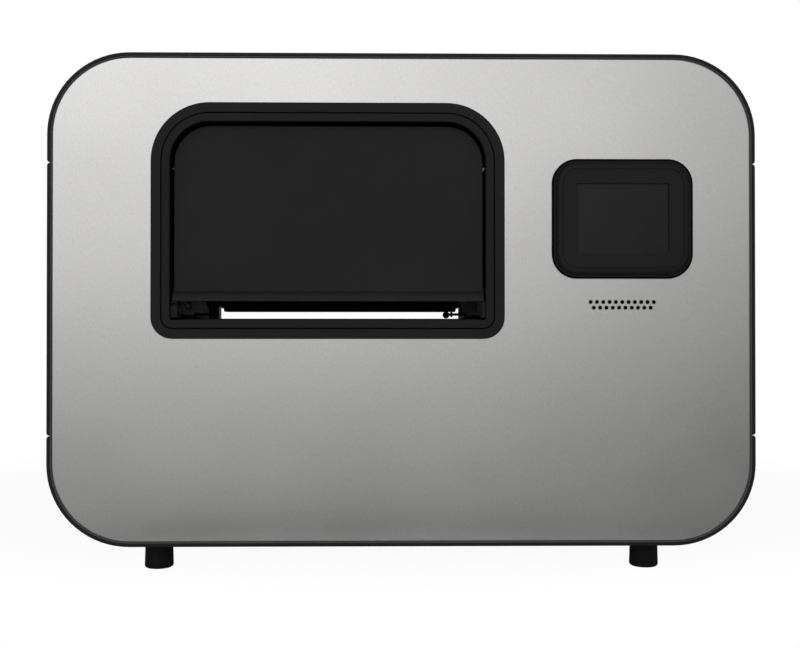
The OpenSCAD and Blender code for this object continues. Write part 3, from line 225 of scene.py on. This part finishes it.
def machined(name, colour, lines=(16*MM, 0.45*MM, 0.45*MM), rough=0.3, wear=1.2, metallic=1.0):
    """Machined or drawn metal with fine tool lines along one axis and polished edges."""
    g = Graph(name)
    tool = g.noise(1.0, 3.0, g.grain(lines))
    g.soften(tool, strength=0.1, distance=0.1*MM)
    edge = g.worn(110)
    tone = g.blend(g.spread(g.noise(30), 0, 1), shade(colour, 0.92), shade(colour, 1.06))
    g.feed("Base Color", g.blend(edge, tone, shade(colour, wear)))
    g.feed("Roughness", g.math("SUBTRACT", g.spread(tool, rough - 0.08, rough + 0.1),
                               g.spread(edge, 0, 0.08, 0, 1)))
    g.set(Metallic=metallic)
    return g.material


def wound_coil(name, copper, jacket):
    """Varnished copper windings showing through a dark jacket."""
    g = Graph(name)
    turns = g.add("ShaderNodeTexWave", {"Vector": g.place}, {"Scale": 420.0, "Distortion": 0.6},
                  bands_direction="Z").outputs["Fac"]
    patch = g.noise(60, detail=3.0)
    g.soften(turns, strength=0.35, distance=0.3*MM)
    tone = g.blend(g.spread(patch, 0, 1, 0.4, 0.6), copper, jacket)
    g.feed("Base Color", g.blend(g.worn(140), tone, shade(copper, 1.3)))
    g.feed("Roughness", g.spread(turns, 0.25, 0.5, 0, 1))
    g.set(Metallic=0.6)
    return g.material


def circuit_board(name, mask, track):
    """Solder mask with tracks and ground areas under it."""
    g = Graph(name)
    layout = {"Scale": 220.0, "Mortar Size": 0.09, "Brick Width": 0.9, "Row Height": 0.35}
    brick = g.add("ShaderNodeTexBrick", {"Vector": g.place}, layout).outputs["Fac"]
    area = g.noise(45, detail=1.0)
    pattern = g.math("MULTIPLY", brick, g.spread(area, 0, 1, 0.48, 0.52))
    g.soften(pattern, strength=0.2, distance=0.1*MM)
    g.feed("Base Color", g.blend(pattern, mask, track))
    g.feed("Roughness", g.spread(area, 0.3, 0.42))
    return g.material


def screen_glass(name, colour):
    """Dark display glass with an even gloss and a trace of finger haze."""
    g = Graph(name)
    haze = g.noise(55, detail=4.0, rough=0.65)
    g.soften(haze, strength=0.02, distance=0.05*MM)
    g.feed("Base Color", g.blend(g.spread(haze, 0, 1, 0.5, 0.8), colour, shade(colour, 1.15)))
    g.feed("Roughness", g.spread(haze, 0.2, 0.3, 0.4, 0.8))
    g.set(Specular_IOR_Level=0.16)
    return g.material


FINE = (0.9*MM, 0.9*MM, 0.9*MM)
finishes = {
    "shell": moulded("shell_black", (0.0122, 0.0122, 0.0126), rough=0.5, level=0.16),
    # The edging's grey, lighter than the shell, is partly painted light along the joint
    "edging": moulded("edging_grey_painted_light", (0.058, 0.058, 0.0585), rough=0.55, level=0.2),
    "trim": moulded("trim_black", (0.0129, 0.0129, 0.0132), rough=0.62, level=0.14),
    # The flap's black is a little lighter than the trim's: partly painted light that offsets the shade of its
    # recess
    "flap": moulded("flap_black", (0.0163, 0.0163, 0.0166), rough=0.62, level=0.14),
    # The pod's shoulder gets painted shade, darker towards its foot
    "pod": moulded("pod_black", (0.0129, 0.0129, 0.0132), rough=0.62, level=0.14, foot=(POD_FACE, POD_FOOT)),
    # Black parts round the paper slot; their near-black is partly painted shade, set darker for the shade
    # inside the slot
    "coated": moulded("black_coating_and_shade", (0.004, 0.004, 0.0042), rough=0.65, level=0.03, pore=0.8*MM,
                      depth=0.2),
    "steel": grained_steel("panel_steel", (0.66, 0.655, 0.645)),
    "zinc": plated_sheet("zinc_sheet", (0.50, 0.52, 0.54)),
    "alloy": machined("machined_alloy", (0.70, 0.71, 0.72)),
    # The heads' near-black is partly painted shade for the inside of the paper slot
    "anodised": machined("black_anodised_and_shade", (0.005, 0.005, 0.0053), rough=0.55, wear=4.0, metallic=0.3),
    "bright": machined("bright_plating", (0.58, 0.58, 0.58), FINE, rough=0.22),
    "black_screw": machined("blackened_steel", (0.045, 0.045, 0.048), FINE, rough=0.38, wear=3.0),
    "hard_steel": machined("hardened_steel", (0.42, 0.42, 0.43), (25*MM, 0.55*MM, 0.55*MM), rough=0.28),
    "bronze": machined("sintered_bronze", (0.55, 0.36, 0.14), FINE, rough=0.4),
    "gold": machined("gilt_contacts", (0.83, 0.60, 0.24), FINE, rough=0.25),
    "coil": wound_coil("coil_jacket", (0.42, 0.15, 0.06), (0.09, 0.03, 0.015)),
    "board": circuit_board("circuit_board", (0.008, 0.075, 0.03), (0.03, 0.16, 0.06)),
    "glass": screen_glass("screen_glass", (0.0118, 0.012, 0.0125)),
    "foot_rubber": rubber("foot_rubber", (0.0055, 0.0055, 0.0055)),
    "belt_rubber": rubber("belt_rubber", (0.005, 0.005, 0.005)),
    # Near-black rubber of the groove bead and the pod's foot ring: painted shade
    "painted_shade": rubber("painted_shade_rubber", (0.0018, 0.0018, 0.0018), level=0.02),
    # The tractors' near-black is partly painted shade for the inside of the paper slot
    "tractor": moulded("tractor_black_and_shade", (0.003, 0.003, 0.0031), rough=0.6, level=0.03),
    "knob": moulded("knob_black", (0.014, 0.014, 0.015), rough=0.42, level=0.35),
    "chip": moulded("chip_black", (0.016, 0.016, 0.017), rough=0.45, level=0.4, pore=0.4*MM),
    "mark": moulded("mark_white", (0.62, 0.62, 0.60), rough=0.5, level=0.3),
    "enamel": moulded("motor_enamel", (0.02, 0.02, 0.021), rough=0.35, level=0.5, pore=1.7*MM),
}
NODE_FINISH = {
    "shell": ["base_tray", "left_side_panel", "right_side_panel", "lid_shell"],
    "pod": ["display_pod"],
    "trim": ["window_frame", "flap_stops", "speaker", "intake_frame", "fan_frame", "power_inlet",
             "data_ports"],
    "flap": ["flap"],
    "coated": ["left_plate", "right_plate", "exit_guide", "intake_guide", "window_liner"],
    "anodised": ["upper_head", "lower_head"],
    "steel": ["front_panel", "rear_panel"],
    "zinc": ["base_plate", "socket_plate", "power_supply", "lid_leaves", "body_leaves"],
    "alloy": ["left_sprocket", "right_sprocket", "motor_pulley", "shaft_pulley", "tie_bars", "board_parts"],
    "bright": ["flap_rod", "foot_screws", "hinge_pins", "guide_rod", "feed_shaft"],
    "black_screw": ["rear_screws"],
    "hard_steel": ["upper_punch", "lower_punch"],
    "bronze": ["shaft_bearings"],
    "coil": ["upper_solenoids", "lower_solenoids"],
    "board": ["control_board", "display_module"],
    "glass": ["display_glass"],
    "foot_rubber": ["feet"],
    "belt_rubber": ["left_pin_belt", "right_pin_belt", "feed_belt"],
    "tractor": ["left_tractor", "right_tractor", "left_gate", "right_gate"],
    "knob": ["fan_rotor", "power_rocker", "flap_catch"],
    "enamel": ["feed_motor"],
}

for finish, members in NODE_FINISH.items():
    for member in members:
        nodes[member].data.materials.clear()
        nodes[member].data.materials.append(finishes[finish])
bare = set(nodes) - {member for members in NODE_FINISH.values() for member in members}
assert not bare, f"nodes without a finish: {sorted(bare)}"


# Forms of the added pieces

SHARP = math.radians(40)
RING_STEPS = 12
SCREW_SIDES = 24
SCREW_TURNS = [2*math.pi*i/SCREW_SIDES for i in range(SCREW_SIDES)]

# A screw head's section, and its recess, as shares of the head's radius and height
SCREW_DOME = ((1.0, 0.0), (1.0, 0.35), (0.93, 0.68), (0.8, 0.9), (0.62, 1.0))
CROSS_ARM, CROSS_HALF, HEX_REACH = 0.52, 0.13, 0.5
RECESS_FLOOR, RECESS_LEVEL = 0.8, 0.3


def add_piece(name, work, body, finish):
    """Turns a finished bmesh into a piece that rides on a body."""
    bmesh.ops.recalc_face_normals(work, faces=work.faces)
    mesh = bpy.data.meshes.new(name)
    work.to_mesh(mesh)
    work.free()
    mesh.shade_smooth()
    mesh.set_sharp_from_angle(angle=SHARP)
    mesh.materials.append(finishes[finish])
    piece = bpy.data.objects.new(name, mesh)
    bpy.context.scene.collection.objects.link(piece)
    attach(piece, body)


def add_loops(work, loops, place=Matrix()):
    """Skins a row of closed loops of points, with equal counts, and caps both ends."""
    made = [[work.verts.new(place @ Vector(point)) for point in loop] for loop in loops]
    for lower, upper in zip(made, made[1:]):
        for i in range(len(lower)):
            work.faces.new((lower[i - 1], lower[i], upper[i], upper[i - 1]))
    work.faces.new(made[0][::-1])
    work.faces.new(made[-1])


def add_ring(work, size, radii, profile, centre):
    """Sweeps a closed profile round an upright rectangle with its own upper and lower corner radius.

    A profile point is how far it lies outside the rectangle, and its depth along Y.
    """
    def outline(grow, y):
        w, h, top, low = size[0]/2 + grow, size[1]/2 + grow, radii[0] + grow, radii[1] + grow
        corners = ((w - top, h - top, top, 0), (top - w, h - top, top, 1), (low - w, low - h, low, 2),
                   (w - low, low - h, low, 3))
        turns = [(x, z, r, math.pi/2*(quarter + i/RING_STEPS)) for x, z, r, quarter in corners
                 for i in range(RING_STEPS + 1)]
        return [work.verts.new((centre[0] + x + r*math.cos(a), y, centre[1] + z + r*math.sin(a)))
                for x, z, r, a in turns]
    made = [outline(grow, y) for grow, y in profile]
    for near, far in zip(made, made[1:] + made[:1]):
        for i in range(len(near)):
            work.faces.new((near[i - 1], near[i], far[i], far[i - 1]))


def add_block(work, low, high, edge):
    """A block with bevelled upright edges and top, for small moulded parts."""
    def outline(inset, z):
        x0, y0, x1, y1 = low[0] + inset, low[1] + inset, high[0] - inset, high[1] - inset
        return [(x0 + edge, y0, z), (x1 - edge, y0, z), (x1, y0 + edge, z), (x1, y1 - edge, z),
                (x1 - edge, y1, z), (x0 + edge, y1, z), (x0, y1 - edge, z), (x0, y0 + edge, z)]
    add_loops(work, [outline(0, low[2]), outline(0, high[2] - edge), outline(edge/2, high[2])])


def cross_reach(angle):
    """Distance from the middle to the edge of a cross recess, as a share of the head's radius."""
    off = abs((angle + math.pi/4) % (math.pi/2) - math.pi/4)
    return min(CROSS_ARM/math.cos(off), CROSS_HALF/max(math.sin(off), 1e-6))


def hex_reach(angle):
    """The same for a hexagon socket."""
    return HEX_REACH*math.cos(math.pi/6)/math.cos(angle % (math.pi/3) - math.pi/6)


def add_screw(work, place, axis, radius, height, reach=cross_reach):
    """A domed screw head with a driver recess, seated at place and pointing along axis."""
    def loop(shape, z):
        return [(radius*shape(a)*math.cos(a), radius*shape(a)*math.sin(a), z) for a in SCREW_TURNS]
    loops = [loop(lambda a: share, height*rise) for share, rise in SCREW_DOME]
    loops += [loop(reach, height), loop(lambda a: RECESS_FLOOR*reach(a), RECESS_LEVEL*height)]
    turn = axis.to_track_quat("Z", "Y").to_matrix().to_4x4()
    add_loops(work, loops, Matrix.Translation(place) @ turn)


def screw_piece(name, spots, axis, radius, height, body="chassis", finish="black_screw", reach=cross_reach):
    work = bmesh.new()
    for spot in spots:
        add_screw(work, Vector(spot), axis, radius, height, reach)
    add_piece(name, work, body, finish)


def middle(node):
    low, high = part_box(node)
    return (Vector(low) + Vector(high))/2


def face_size(node):
    """Width and height of a node seen from the front."""
    low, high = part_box(node)
    return high[0] - low[0], high[2] - low[2]


# Added pieces

# Section of the edging strip in millimetres: inward from the shell, and forward of the panel's face
EDGING_SECTION = ((0, -0.8), (0, 1.0), (0.4, 1.4), (1.2, 1.2), (1.8, 0.5), (2.1, -0.4), (1.0, -0.8))


def groove_shade_bead():
    """A near-black rubber bead sunk in the groove of the window frame; it is painted shade, standing in for
    the shade in a deep joint.
    """
    mid, outer = middle("window_frame"), face_size("window_frame")
    floor, tall, wide = PANEL_FACE - 0.7*MM, 0.5*MM, 0.65*MM
    section = ((-wide, 0), (-wide, tall/2), (-wide/2, tall), (wide/2, tall), (wide, tall/2), (wide, 0))
    bead = [(GROOVE_AT + off, floor - rise) for off, rise in section]
    work = bmesh.new()
    add_ring(work, [side - 2*FRAME_WIDTH for side in outer], WINDOW_RADII, bead, (mid.x, mid.z))
    add_piece("groove_shade_bead", work, "chassis", "painted_shade")


def pod_shade_ring():
    """A near-black rubber lip round the foot of the pod; it is painted shade, standing in for the shadow gap
    at the pod's foot.
    """
    mid, ledge = middle("display_pod"), PANEL_FACE - POD_STEP
    out, top_out, top_in, over, top = 0.5*MM, 0.2*MM, 1.1*MM, 1.3*MM, ledge - 0.35*MM
    lip = [(0, PANEL_FACE), (out, PANEL_FACE), (out, ledge), (top_out, top), (-top_in, top), (-over, ledge),
           (0, ledge)]
    work = bmesh.new()
    add_ring(work, face_size("display_pod"), (POD_RADIUS, POD_RADIUS), lip, (mid.x, mid.z))
    add_piece("pod_shade_ring", work, "chassis", "painted_shade")


def panel_edging():
    """A grey strip that fills the joint between the front panel's bent edge and the shell; its grey, lighter
    than the shell, is partly painted light for the light caught along that joint.
    """
    mid, gap = middle("front_panel"), 0.35*MM
    strip = [(gap - inward*MM, PANEL_FACE - forward*MM) for inward, forward in EDGING_SECTION]
    work = bmesh.new()
    add_ring(work, face_size("front_panel"), (PANEL_RADIUS, PANEL_RADIUS), strip, (mid.x, mid.z))
    add_piece("panel_edging", work, "chassis", "edging")


def paper_lip():
    """A round bead along the back of the sill, which the paper slides over."""
    low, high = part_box("window_liner")
    deep, tall, sunk, steps, end_share = 4*MM, 2.2*MM, 0.2*MM, 8, 0.3
    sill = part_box("window_frame")[0][2] + FRAME_WIDTH
    left, right = low[0] + LINER_FLANGE + tall, high[0] - LINER_FLANGE - tall
    back = high[1]

    def bead(x, share):
        arc = [(x, back - deep/2*(1 + share*math.cos(math.pi*i/steps)),
                sill + share*tall*math.sin(math.pi*i/steps)) for i in range(steps + 1)]
        return [(x, arc[0][1], sill - sunk)] + arc + [(x, arc[-1][1], sill - sunk)]

    work = bmesh.new()
    add_loops(work, [bead(left - tall/2, end_share), bead(left, 1), bead(right, 1),
                     bead(right + tall/2, end_share)])
    add_piece("paper_lip", work, "chassis", "trim")


def rear_fasteners():
    """Screws of the fan, the socket plate and the rear slot frame."""
    fan, inset = middle("fan_frame"), 5*MM
    reach = face_size("fan_frame")[0]/2 - inset
    spots = [(fan.x + i*reach, REAR_FACE, fan.z + j*reach) for i in (-1, 1) for j in (-1, 1)]
    screw_piece("fan_screws", spots, BACK, radius=3.4*MM, height=2*MM)
    low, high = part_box("socket_plate")
    inset, rise = 4*MM, 14*MM
    spots = [(x, REAR_FACE, middle("socket_plate").z + j*rise)
             for x in (low[0] + inset, high[0] - inset) for j in (-1, 1)]
    screw_piece("socket_plate_screws", spots, BACK, radius=2.6*MM, height=1.6*MM)
    low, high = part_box("intake_frame")
    side, inset = 50*MM, 4.5*MM
    spots = [(x, high[1], z) for x in (low[0] + side, middle("intake_frame").x, high[0] - side)
             for z in (low[2] + inset/2, high[2] - inset)]
    screw_piece("slot_frame_screws", spots, BACK, radius=2.2*MM, height=1.1*MM)


def hinge_fasteners():
    """Three screws in each hinge leaf."""
    pitch, inset, radius = 22*MM, 12*MM, 2.8*MM
    centres = [side*HINGE_X + i*pitch for side in (-1, 1) for i in (-1, 0, 1)]
    low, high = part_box("lid_leaves")
    spots = [(x, low[1] + inset, high[2]) for x in centres]
    screw_piece("lid_leaf_screws", spots, UP, radius, height=0.3*MM, body="lid", finish="bright")
    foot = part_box("body_leaves")[0][2]
    spots = [(x, REAR_FACE + LEAF, foot + inset) for x in centres]
    screw_piece("body_leaf_screws", spots, BACK, radius, height=0.9*MM, finish="bright")


def frame_bolts():
    """Socket screws that hold the heads, the motor and the side plates."""
    off, reach, radius, height = 20*MM, 23.6*MM, 4.5*MM, 4*MM
    left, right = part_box("left_plate")[0][0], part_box("right_plate")[1][0]
    heads = [(off*i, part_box(node)[edge][2] + lift) for i in (-1, 1)
             for node, edge, lift in (("upper_head", 1, -off), ("lower_head", 0, off))]
    spots = [(left, y, z) for y, z in heads]
    screw_piece("left_plate_bolts", spots, -RIGHT, radius, height, reach=hex_reach)
    motor = middle("feed_motor")
    spots = [(right, y, z) for y, z in heads]
    spots += [(right, motor.y + i*reach, motor.z + j*reach) for i in (-1, 1) for j in (-1, 1)]
    screw_piece("right_plate_bolts", spots, RIGHT, radius, height, reach=hex_reach)


def socket_liners():
    """Sheet liners and contacts in the two data sockets."""
    mid, out = middle("data_ports"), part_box("data_ports")[1][1]
    shell, contacts = bmesh.new(), bmesh.new()
    wall, deep, sunk, corner = 0.5*MM, 10*MM, 0.3*MM, 0.8*MM
    margin, short, drop, thick, edge = 4*MM, 2*MM, 2.4*MM, 0.8*MM, 0.2*MM
    tube = [(0, out - deep), (0, out - sunk), (-wall, out - sunk), (-wall, out - deep)]
    # Side, width, height and contacts of each socket
    for side, w, h, count in ((-1, 11.6*MM, 10.6*MM, 4), (1, 13.6*MM, 11.6*MM, 8)):
        x, top = mid.x + side*PORT_GAP, mid.z + h/2 - drop
        add_ring(shell, (w, h), (corner, corner), tube, (x, mid.z))
        pitch = (w - margin)/count
        for i in range(count):
            cx = x + (i - (count - 1)/2)*pitch
            add_block(contacts, (cx - pitch/4, out - deep + wall, top - thick),
                      (cx + pitch/4, out - short, top), edge)
    add_piece("socket_liners", shell, "chassis", "bright")
    add_piece("socket_contacts", contacts, "chassis", "gold")


def switch_marks():
    """A raised bar and ring on the two wings of the power rocker."""
    pivot = Vector(next(j["pos_m"] for j in frame["joints"] if j["name"] == "power_rock"))
    # Middle of a wing, its height over the pivot, and its slope of 1.5 mm over 8.4 mm
    wing, rise, slope = 4.6*MM, 3.8*MM, math.atan2(1.5, 8.4)
    low, top, thin, long = -0.2*MM, 0.12*MM, 0.35*MM, 1.9*MM
    outer, inner, sides = 1.9*MM, 1.3*MM, 20

    def on_wing(side):
        """Frame of a wing with z out of its face."""
        tilt, lie = (Matrix.Rotation(a, 4, "X") for a in (ROCKER_TILT, -math.pi/2 - side*slope))
        return Matrix.Translation(pivot) @ tilt @ Matrix.Translation((0, rise, side*wing)) @ lie

    def oval(r, z):
        turns = [2*math.pi*i/sides for i in range(sides)]
        return [(r*math.cos(a), r*math.sin(a), z) for a in turns]

    def bar(z):
        return [(-thin, -long, z), (thin, -long, z), (thin, long, z), (-thin, long, z)]

    work = bmesh.new()
    add_loops(work, [bar(low), bar(top)], on_wing(-1))
    add_loops(work, [oval(outer, low), oval(outer, top), oval(inner, top), oval(inner, low)], on_wing(1))
    add_piece("switch_marks", work, "power_rocker", "mark")


def board_chips():
    """Chips with their legs on the free strips of the control board."""
    low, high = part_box("control_board")
    bodies, legs = bmesh.new(), bmesh.new()
    # Middle, width and depth of a strip's chips, then its first place, step and count
    strips = [(low[0] + 20*MM, 15*MM, 15*MM, low[1] + 30*MM, 34*MM, 6),
              (high[0] - 18*MM, 9*MM, 19*MM, low[1] + 96*MM, 29*MM, 4)]
    stand, tall, edge = 0.6*MM, 2.4*MM, 0.3*MM
    pitch, leg, leg_half, leg_edge, end = 1.6*MM, 1.6*MM, 0.32*MM, 0.15*MM, MM
    for x, w, d, start, step, count in strips:
        for i in range(count):
            y, z = start + i*step, high[2]
            add_block(bodies, (x - w/2, y - d/2, z + stand/2), (x + w/2, y + d/2, z + stand + tall), edge)
            for j in range(int((d - 2*end)/pitch) + 1):
                at = y - d/2 + end + j*pitch
                for side in (-1, 1):
                    root = x + side*w/2
                    tip = root + side*leg
                    add_block(legs, (min(root, tip), at - leg_half, z),
                              (max(root, tip), at + leg_half, z + stand), leg_edge)
    add_piece("board_chips", bodies, "chassis", "chip")
    add_piece("chip_legs", legs, "chassis", "bright")


# The first two pieces are painted shade: a dark bead in the frame's groove and a dark ring round the pod's
# foot
groove_shade_bead()
pod_shade_ring()
panel_edging()
paper_lip()
rear_fasteners()
hinge_fasteners()
frame_bolts()
socket_liners()
switch_marks()
board_chips()


# Stage: floor, light and camera

# Half axes of the oval floor, how far back its middle lies and the corners of its outline
FLOOR_HALF, FLOOR_BACK, FLOOR_SIDES = (1.1, 0.75), 0.42, 96
# Its grey, its white share as the camera sees it, the part of that in mirrors, and where it fades to white
FLOOR_GREY, FLOOR_GLOW, FLOOR_MIRROR, FLOOR_FADE = 0.48, 0.9, 0.1, (0.45, 0.95)

# Mirrored room: each rule is a slope and a start, and its range holds the result between two limits.
# Upwards: the wall in front, the ground in front and the wall behind
ROOM_RISE, ROOM_RANGE = (3.32, 0.673), (0.0, 1.31)
GROUND_RISE, GROUND_RANGE = (-12.0, -4.2), (0.0, 0.85)
REAR_RISE, REAR_RANGE = (0.9, 0.74), (0.38, 1.0)
# Across: the room in front leans to one side and falls off with the square on the right
ROOM_LEAN, ROOM_BOW, FALL_RANGE = (0.108, 1.04), -5.81, (0.4, 1.1)
# Along the depth: where front turns to rear, and how the sides dim
FACING, FACING_RANGE = (-4.0, 0.5), (0.0, 1.0)
ROOM_SIDE, SIDE_RANGE = (2.2, -0.55), (0.2, 1.0)
# Light of the world on matt surfaces
AMBIENT = 0.12

# Place, target, size and power of each lamp
LAMPS = {
    "key": ((-0.1, -2.9, 0.65), (0, -0.1, 0.3), (1.6, 1.6), 46),
    "fill": ((2.0, -1.5, 1.1), (0, 0, 0.3), (1.2, 1.2), 4),
    "overhead": ((0, 0.15, 2.2), (0, 0.15, 0.3), (1.8, 0.65), 22),
    "rear_left": ((-2.0, 1.1, 1.1), (0, 0.1, 0.3), (1.4, 1.2), 28),
    "rear_right": ((2.0, 1.1, 1.1), (0, 0.1, 0.3), (1.4, 1.2), 28),
}

# Camera; the horizon's shift, the focal length and the image are in pixels of the photograph
CAMERA_PLACE = (-0.0177, -1.243, 0.2438)
CAMERA_TURN, CAMERA_PITCH = math.radians(0.81), math.radians(0.43)
HORIZON_PX, FOCAL_PX, IMAGE_W, SENSOR = 11.6, 987.5, 800, 36


def pale_floor():
    """A finite pale floor that takes the object's shadow and fades to white before its edge."""
    mesh = bpy.data.meshes.new("floor")
    work = bmesh.new()
    bmesh.ops.create_circle(work, cap_ends=True, segments=FLOOR_SIDES, radius=1.0)
    for vert in work.verts:
        vert.co.x *= FLOOR_HALF[0]
        vert.co.y *= FLOOR_HALF[1]
    work.to_mesh(mesh)
    work.free()
    floor = bpy.data.objects.new("floor", mesh)
    bpy.context.scene.collection.objects.link(floor)
    floor.location = (0, FLOOR_BACK, 0)
    g = Graph("floor_white")
    g.set(Base_Color=(FLOOR_GREY, FLOOR_GREY, FLOOR_GREY, 1), Roughness=0.9, Specular_IOR_Level=0.0)
    reach = g.add("ShaderNodeVectorMath", {0: g.grain((*FLOOR_HALF, 1))}, operation="LENGTH").outputs["Value"]
    fade = g.spread(reach, FLOOR_GLOW, 1.0, *FLOOR_FADE)
    rays = g.add("ShaderNodeLightPath").outputs
    mirrored = g.math("MAXIMUM", rays["Is Glossy Ray"], rays["Is Transmission Ray"])
    part = g.add("ShaderNodeMath", {0: mirrored}, {1: FLOOR_MIRROR}, operation="MULTIPLY").outputs["Value"]
    seen = g.math("MULTIPLY", g.math("MAXIMUM", rays["Is Camera Ray"], part), fade)
    glow = g.add("ShaderNodeEmission").outputs["Emission"]
    mix = g.add("ShaderNodeMixShader", {0: seen, 1: g.shader.outputs["BSDF"], 2: glow}).outputs["Shader"]
    g.tree.links.new(mix, g.tree.nodes["Material Output"].inputs["Surface"])
    mesh.materials.append(g.material)


def studio_world():
    """White behind the object. Mirrored in it, the room in front is bright high up and on the ground, with
    a dim band between that is darkest on the right; the room behind is even, and the sides are dim."""
    world = bpy.data.worlds.new("studio")
    bpy.context.scene.world = world
    world.use_nodes = True
    tree = world.node_tree
    back = tree.nodes["Background"]

    def calc(operation, *values):
        node = tree.nodes.new("ShaderNodeMath")
        node.operation = operation
        for socket, value in zip(node.inputs, values):
            if isinstance(value, (int, float)):
                socket.default_value = value
            else:
                tree.links.new(value, socket)
        return node.outputs["Value"]

    def held(value, low, high):
        return calc("MINIMUM", calc("MAXIMUM", value, low), high)

    def ramp(value, rule, limits):
        return held(calc("MULTIPLY_ADD", value, *rule), *limits)

    direction = tree.nodes.new("ShaderNodeSeparateXYZ")
    tree.links.new(tree.nodes.new("ShaderNodeTexCoord").outputs["Generated"], direction.inputs["Vector"])
    across, deep, up = (direction.outputs[axis] for axis in "XYZ")
    rays = tree.nodes.new("ShaderNodeLightPath").outputs

    bow = calc("POWER", calc("MAXIMUM", across, 0.0), 2.0)
    fall = calc("MULTIPLY_ADD", bow, ROOM_BOW, calc("MULTIPLY_ADD", across, *ROOM_LEAN))
    rise = calc("ADD", ramp(up, ROOM_RISE, ROOM_RANGE), ramp(up, GROUND_RISE, GROUND_RANGE))
    front = calc("MULTIPLY", rise, held(fall, *FALL_RANGE))
    rear = ramp(up, REAR_RISE, REAR_RANGE)
    either = calc("MULTIPLY_ADD", calc("SUBTRACT", front, rear), ramp(deep, FACING, FACING_RANGE), rear)
    room = calc("MULTIPLY", either, ramp(calc("ABSOLUTE", deep), ROOM_SIDE, SIDE_RANGE))
    seen = rays["Is Camera Ray"]
    mirrored = calc("MAXIMUM", rays["Is Glossy Ray"], rays["Is Transmission Ray"])
    rest = calc("SUBTRACT", 1.0, calc("MAXIMUM", seen, mirrored))
    level = calc("MULTIPLY_ADD", mirrored, room, calc("MULTIPLY_ADD", rest, AMBIENT, seen))
    tree.links.new(level, back.inputs["Strength"])
    back.inputs["Color"].default_value = (1, 1, 1, 1)


def softbox(name, place, target, size, power):
    """A lamp that lights the object but isn't mirrored in it; the room is."""
    lamp = bpy.data.lights.new(name, "AREA")
    lamp.shape = "RECTANGLE"
    lamp.size, lamp.size_y = size
    lamp.energy = power
    holder = bpy.data.objects.new(name, lamp)
    bpy.context.scene.collection.objects.link(holder)
    holder.location = place
    holder.rotation_euler = (Vector(target) - Vector(place)).to_track_quat("-Z", "Y").to_euler()
    holder.visible_glossy = False


def main_camera():
    """The photograph's view: level, nearly square on, with a small upward shift."""
    lens = bpy.data.cameras.new("camera")
    lens.sensor_width = SENSOR
    lens.lens = FOCAL_PX*SENSOR/IMAGE_W
    lens.shift_y = HORIZON_PX/IMAGE_W
    camera = bpy.data.objects.new("camera", lens)
    bpy.context.scene.collection.objects.link(camera)
    camera.location = CAMERA_PLACE
    camera.rotation_euler = (math.radians(90) + CAMERA_PITCH, 0, -CAMERA_TURN)
    bpy.context.scene.camera = camera


pale_floor()
studio_world()
for lamp_name, setting in LAMPS.items():
    softbox(lamp_name, *setting)
main_camera()
bpy.context.scene.view_settings.view_transform = "Standard"
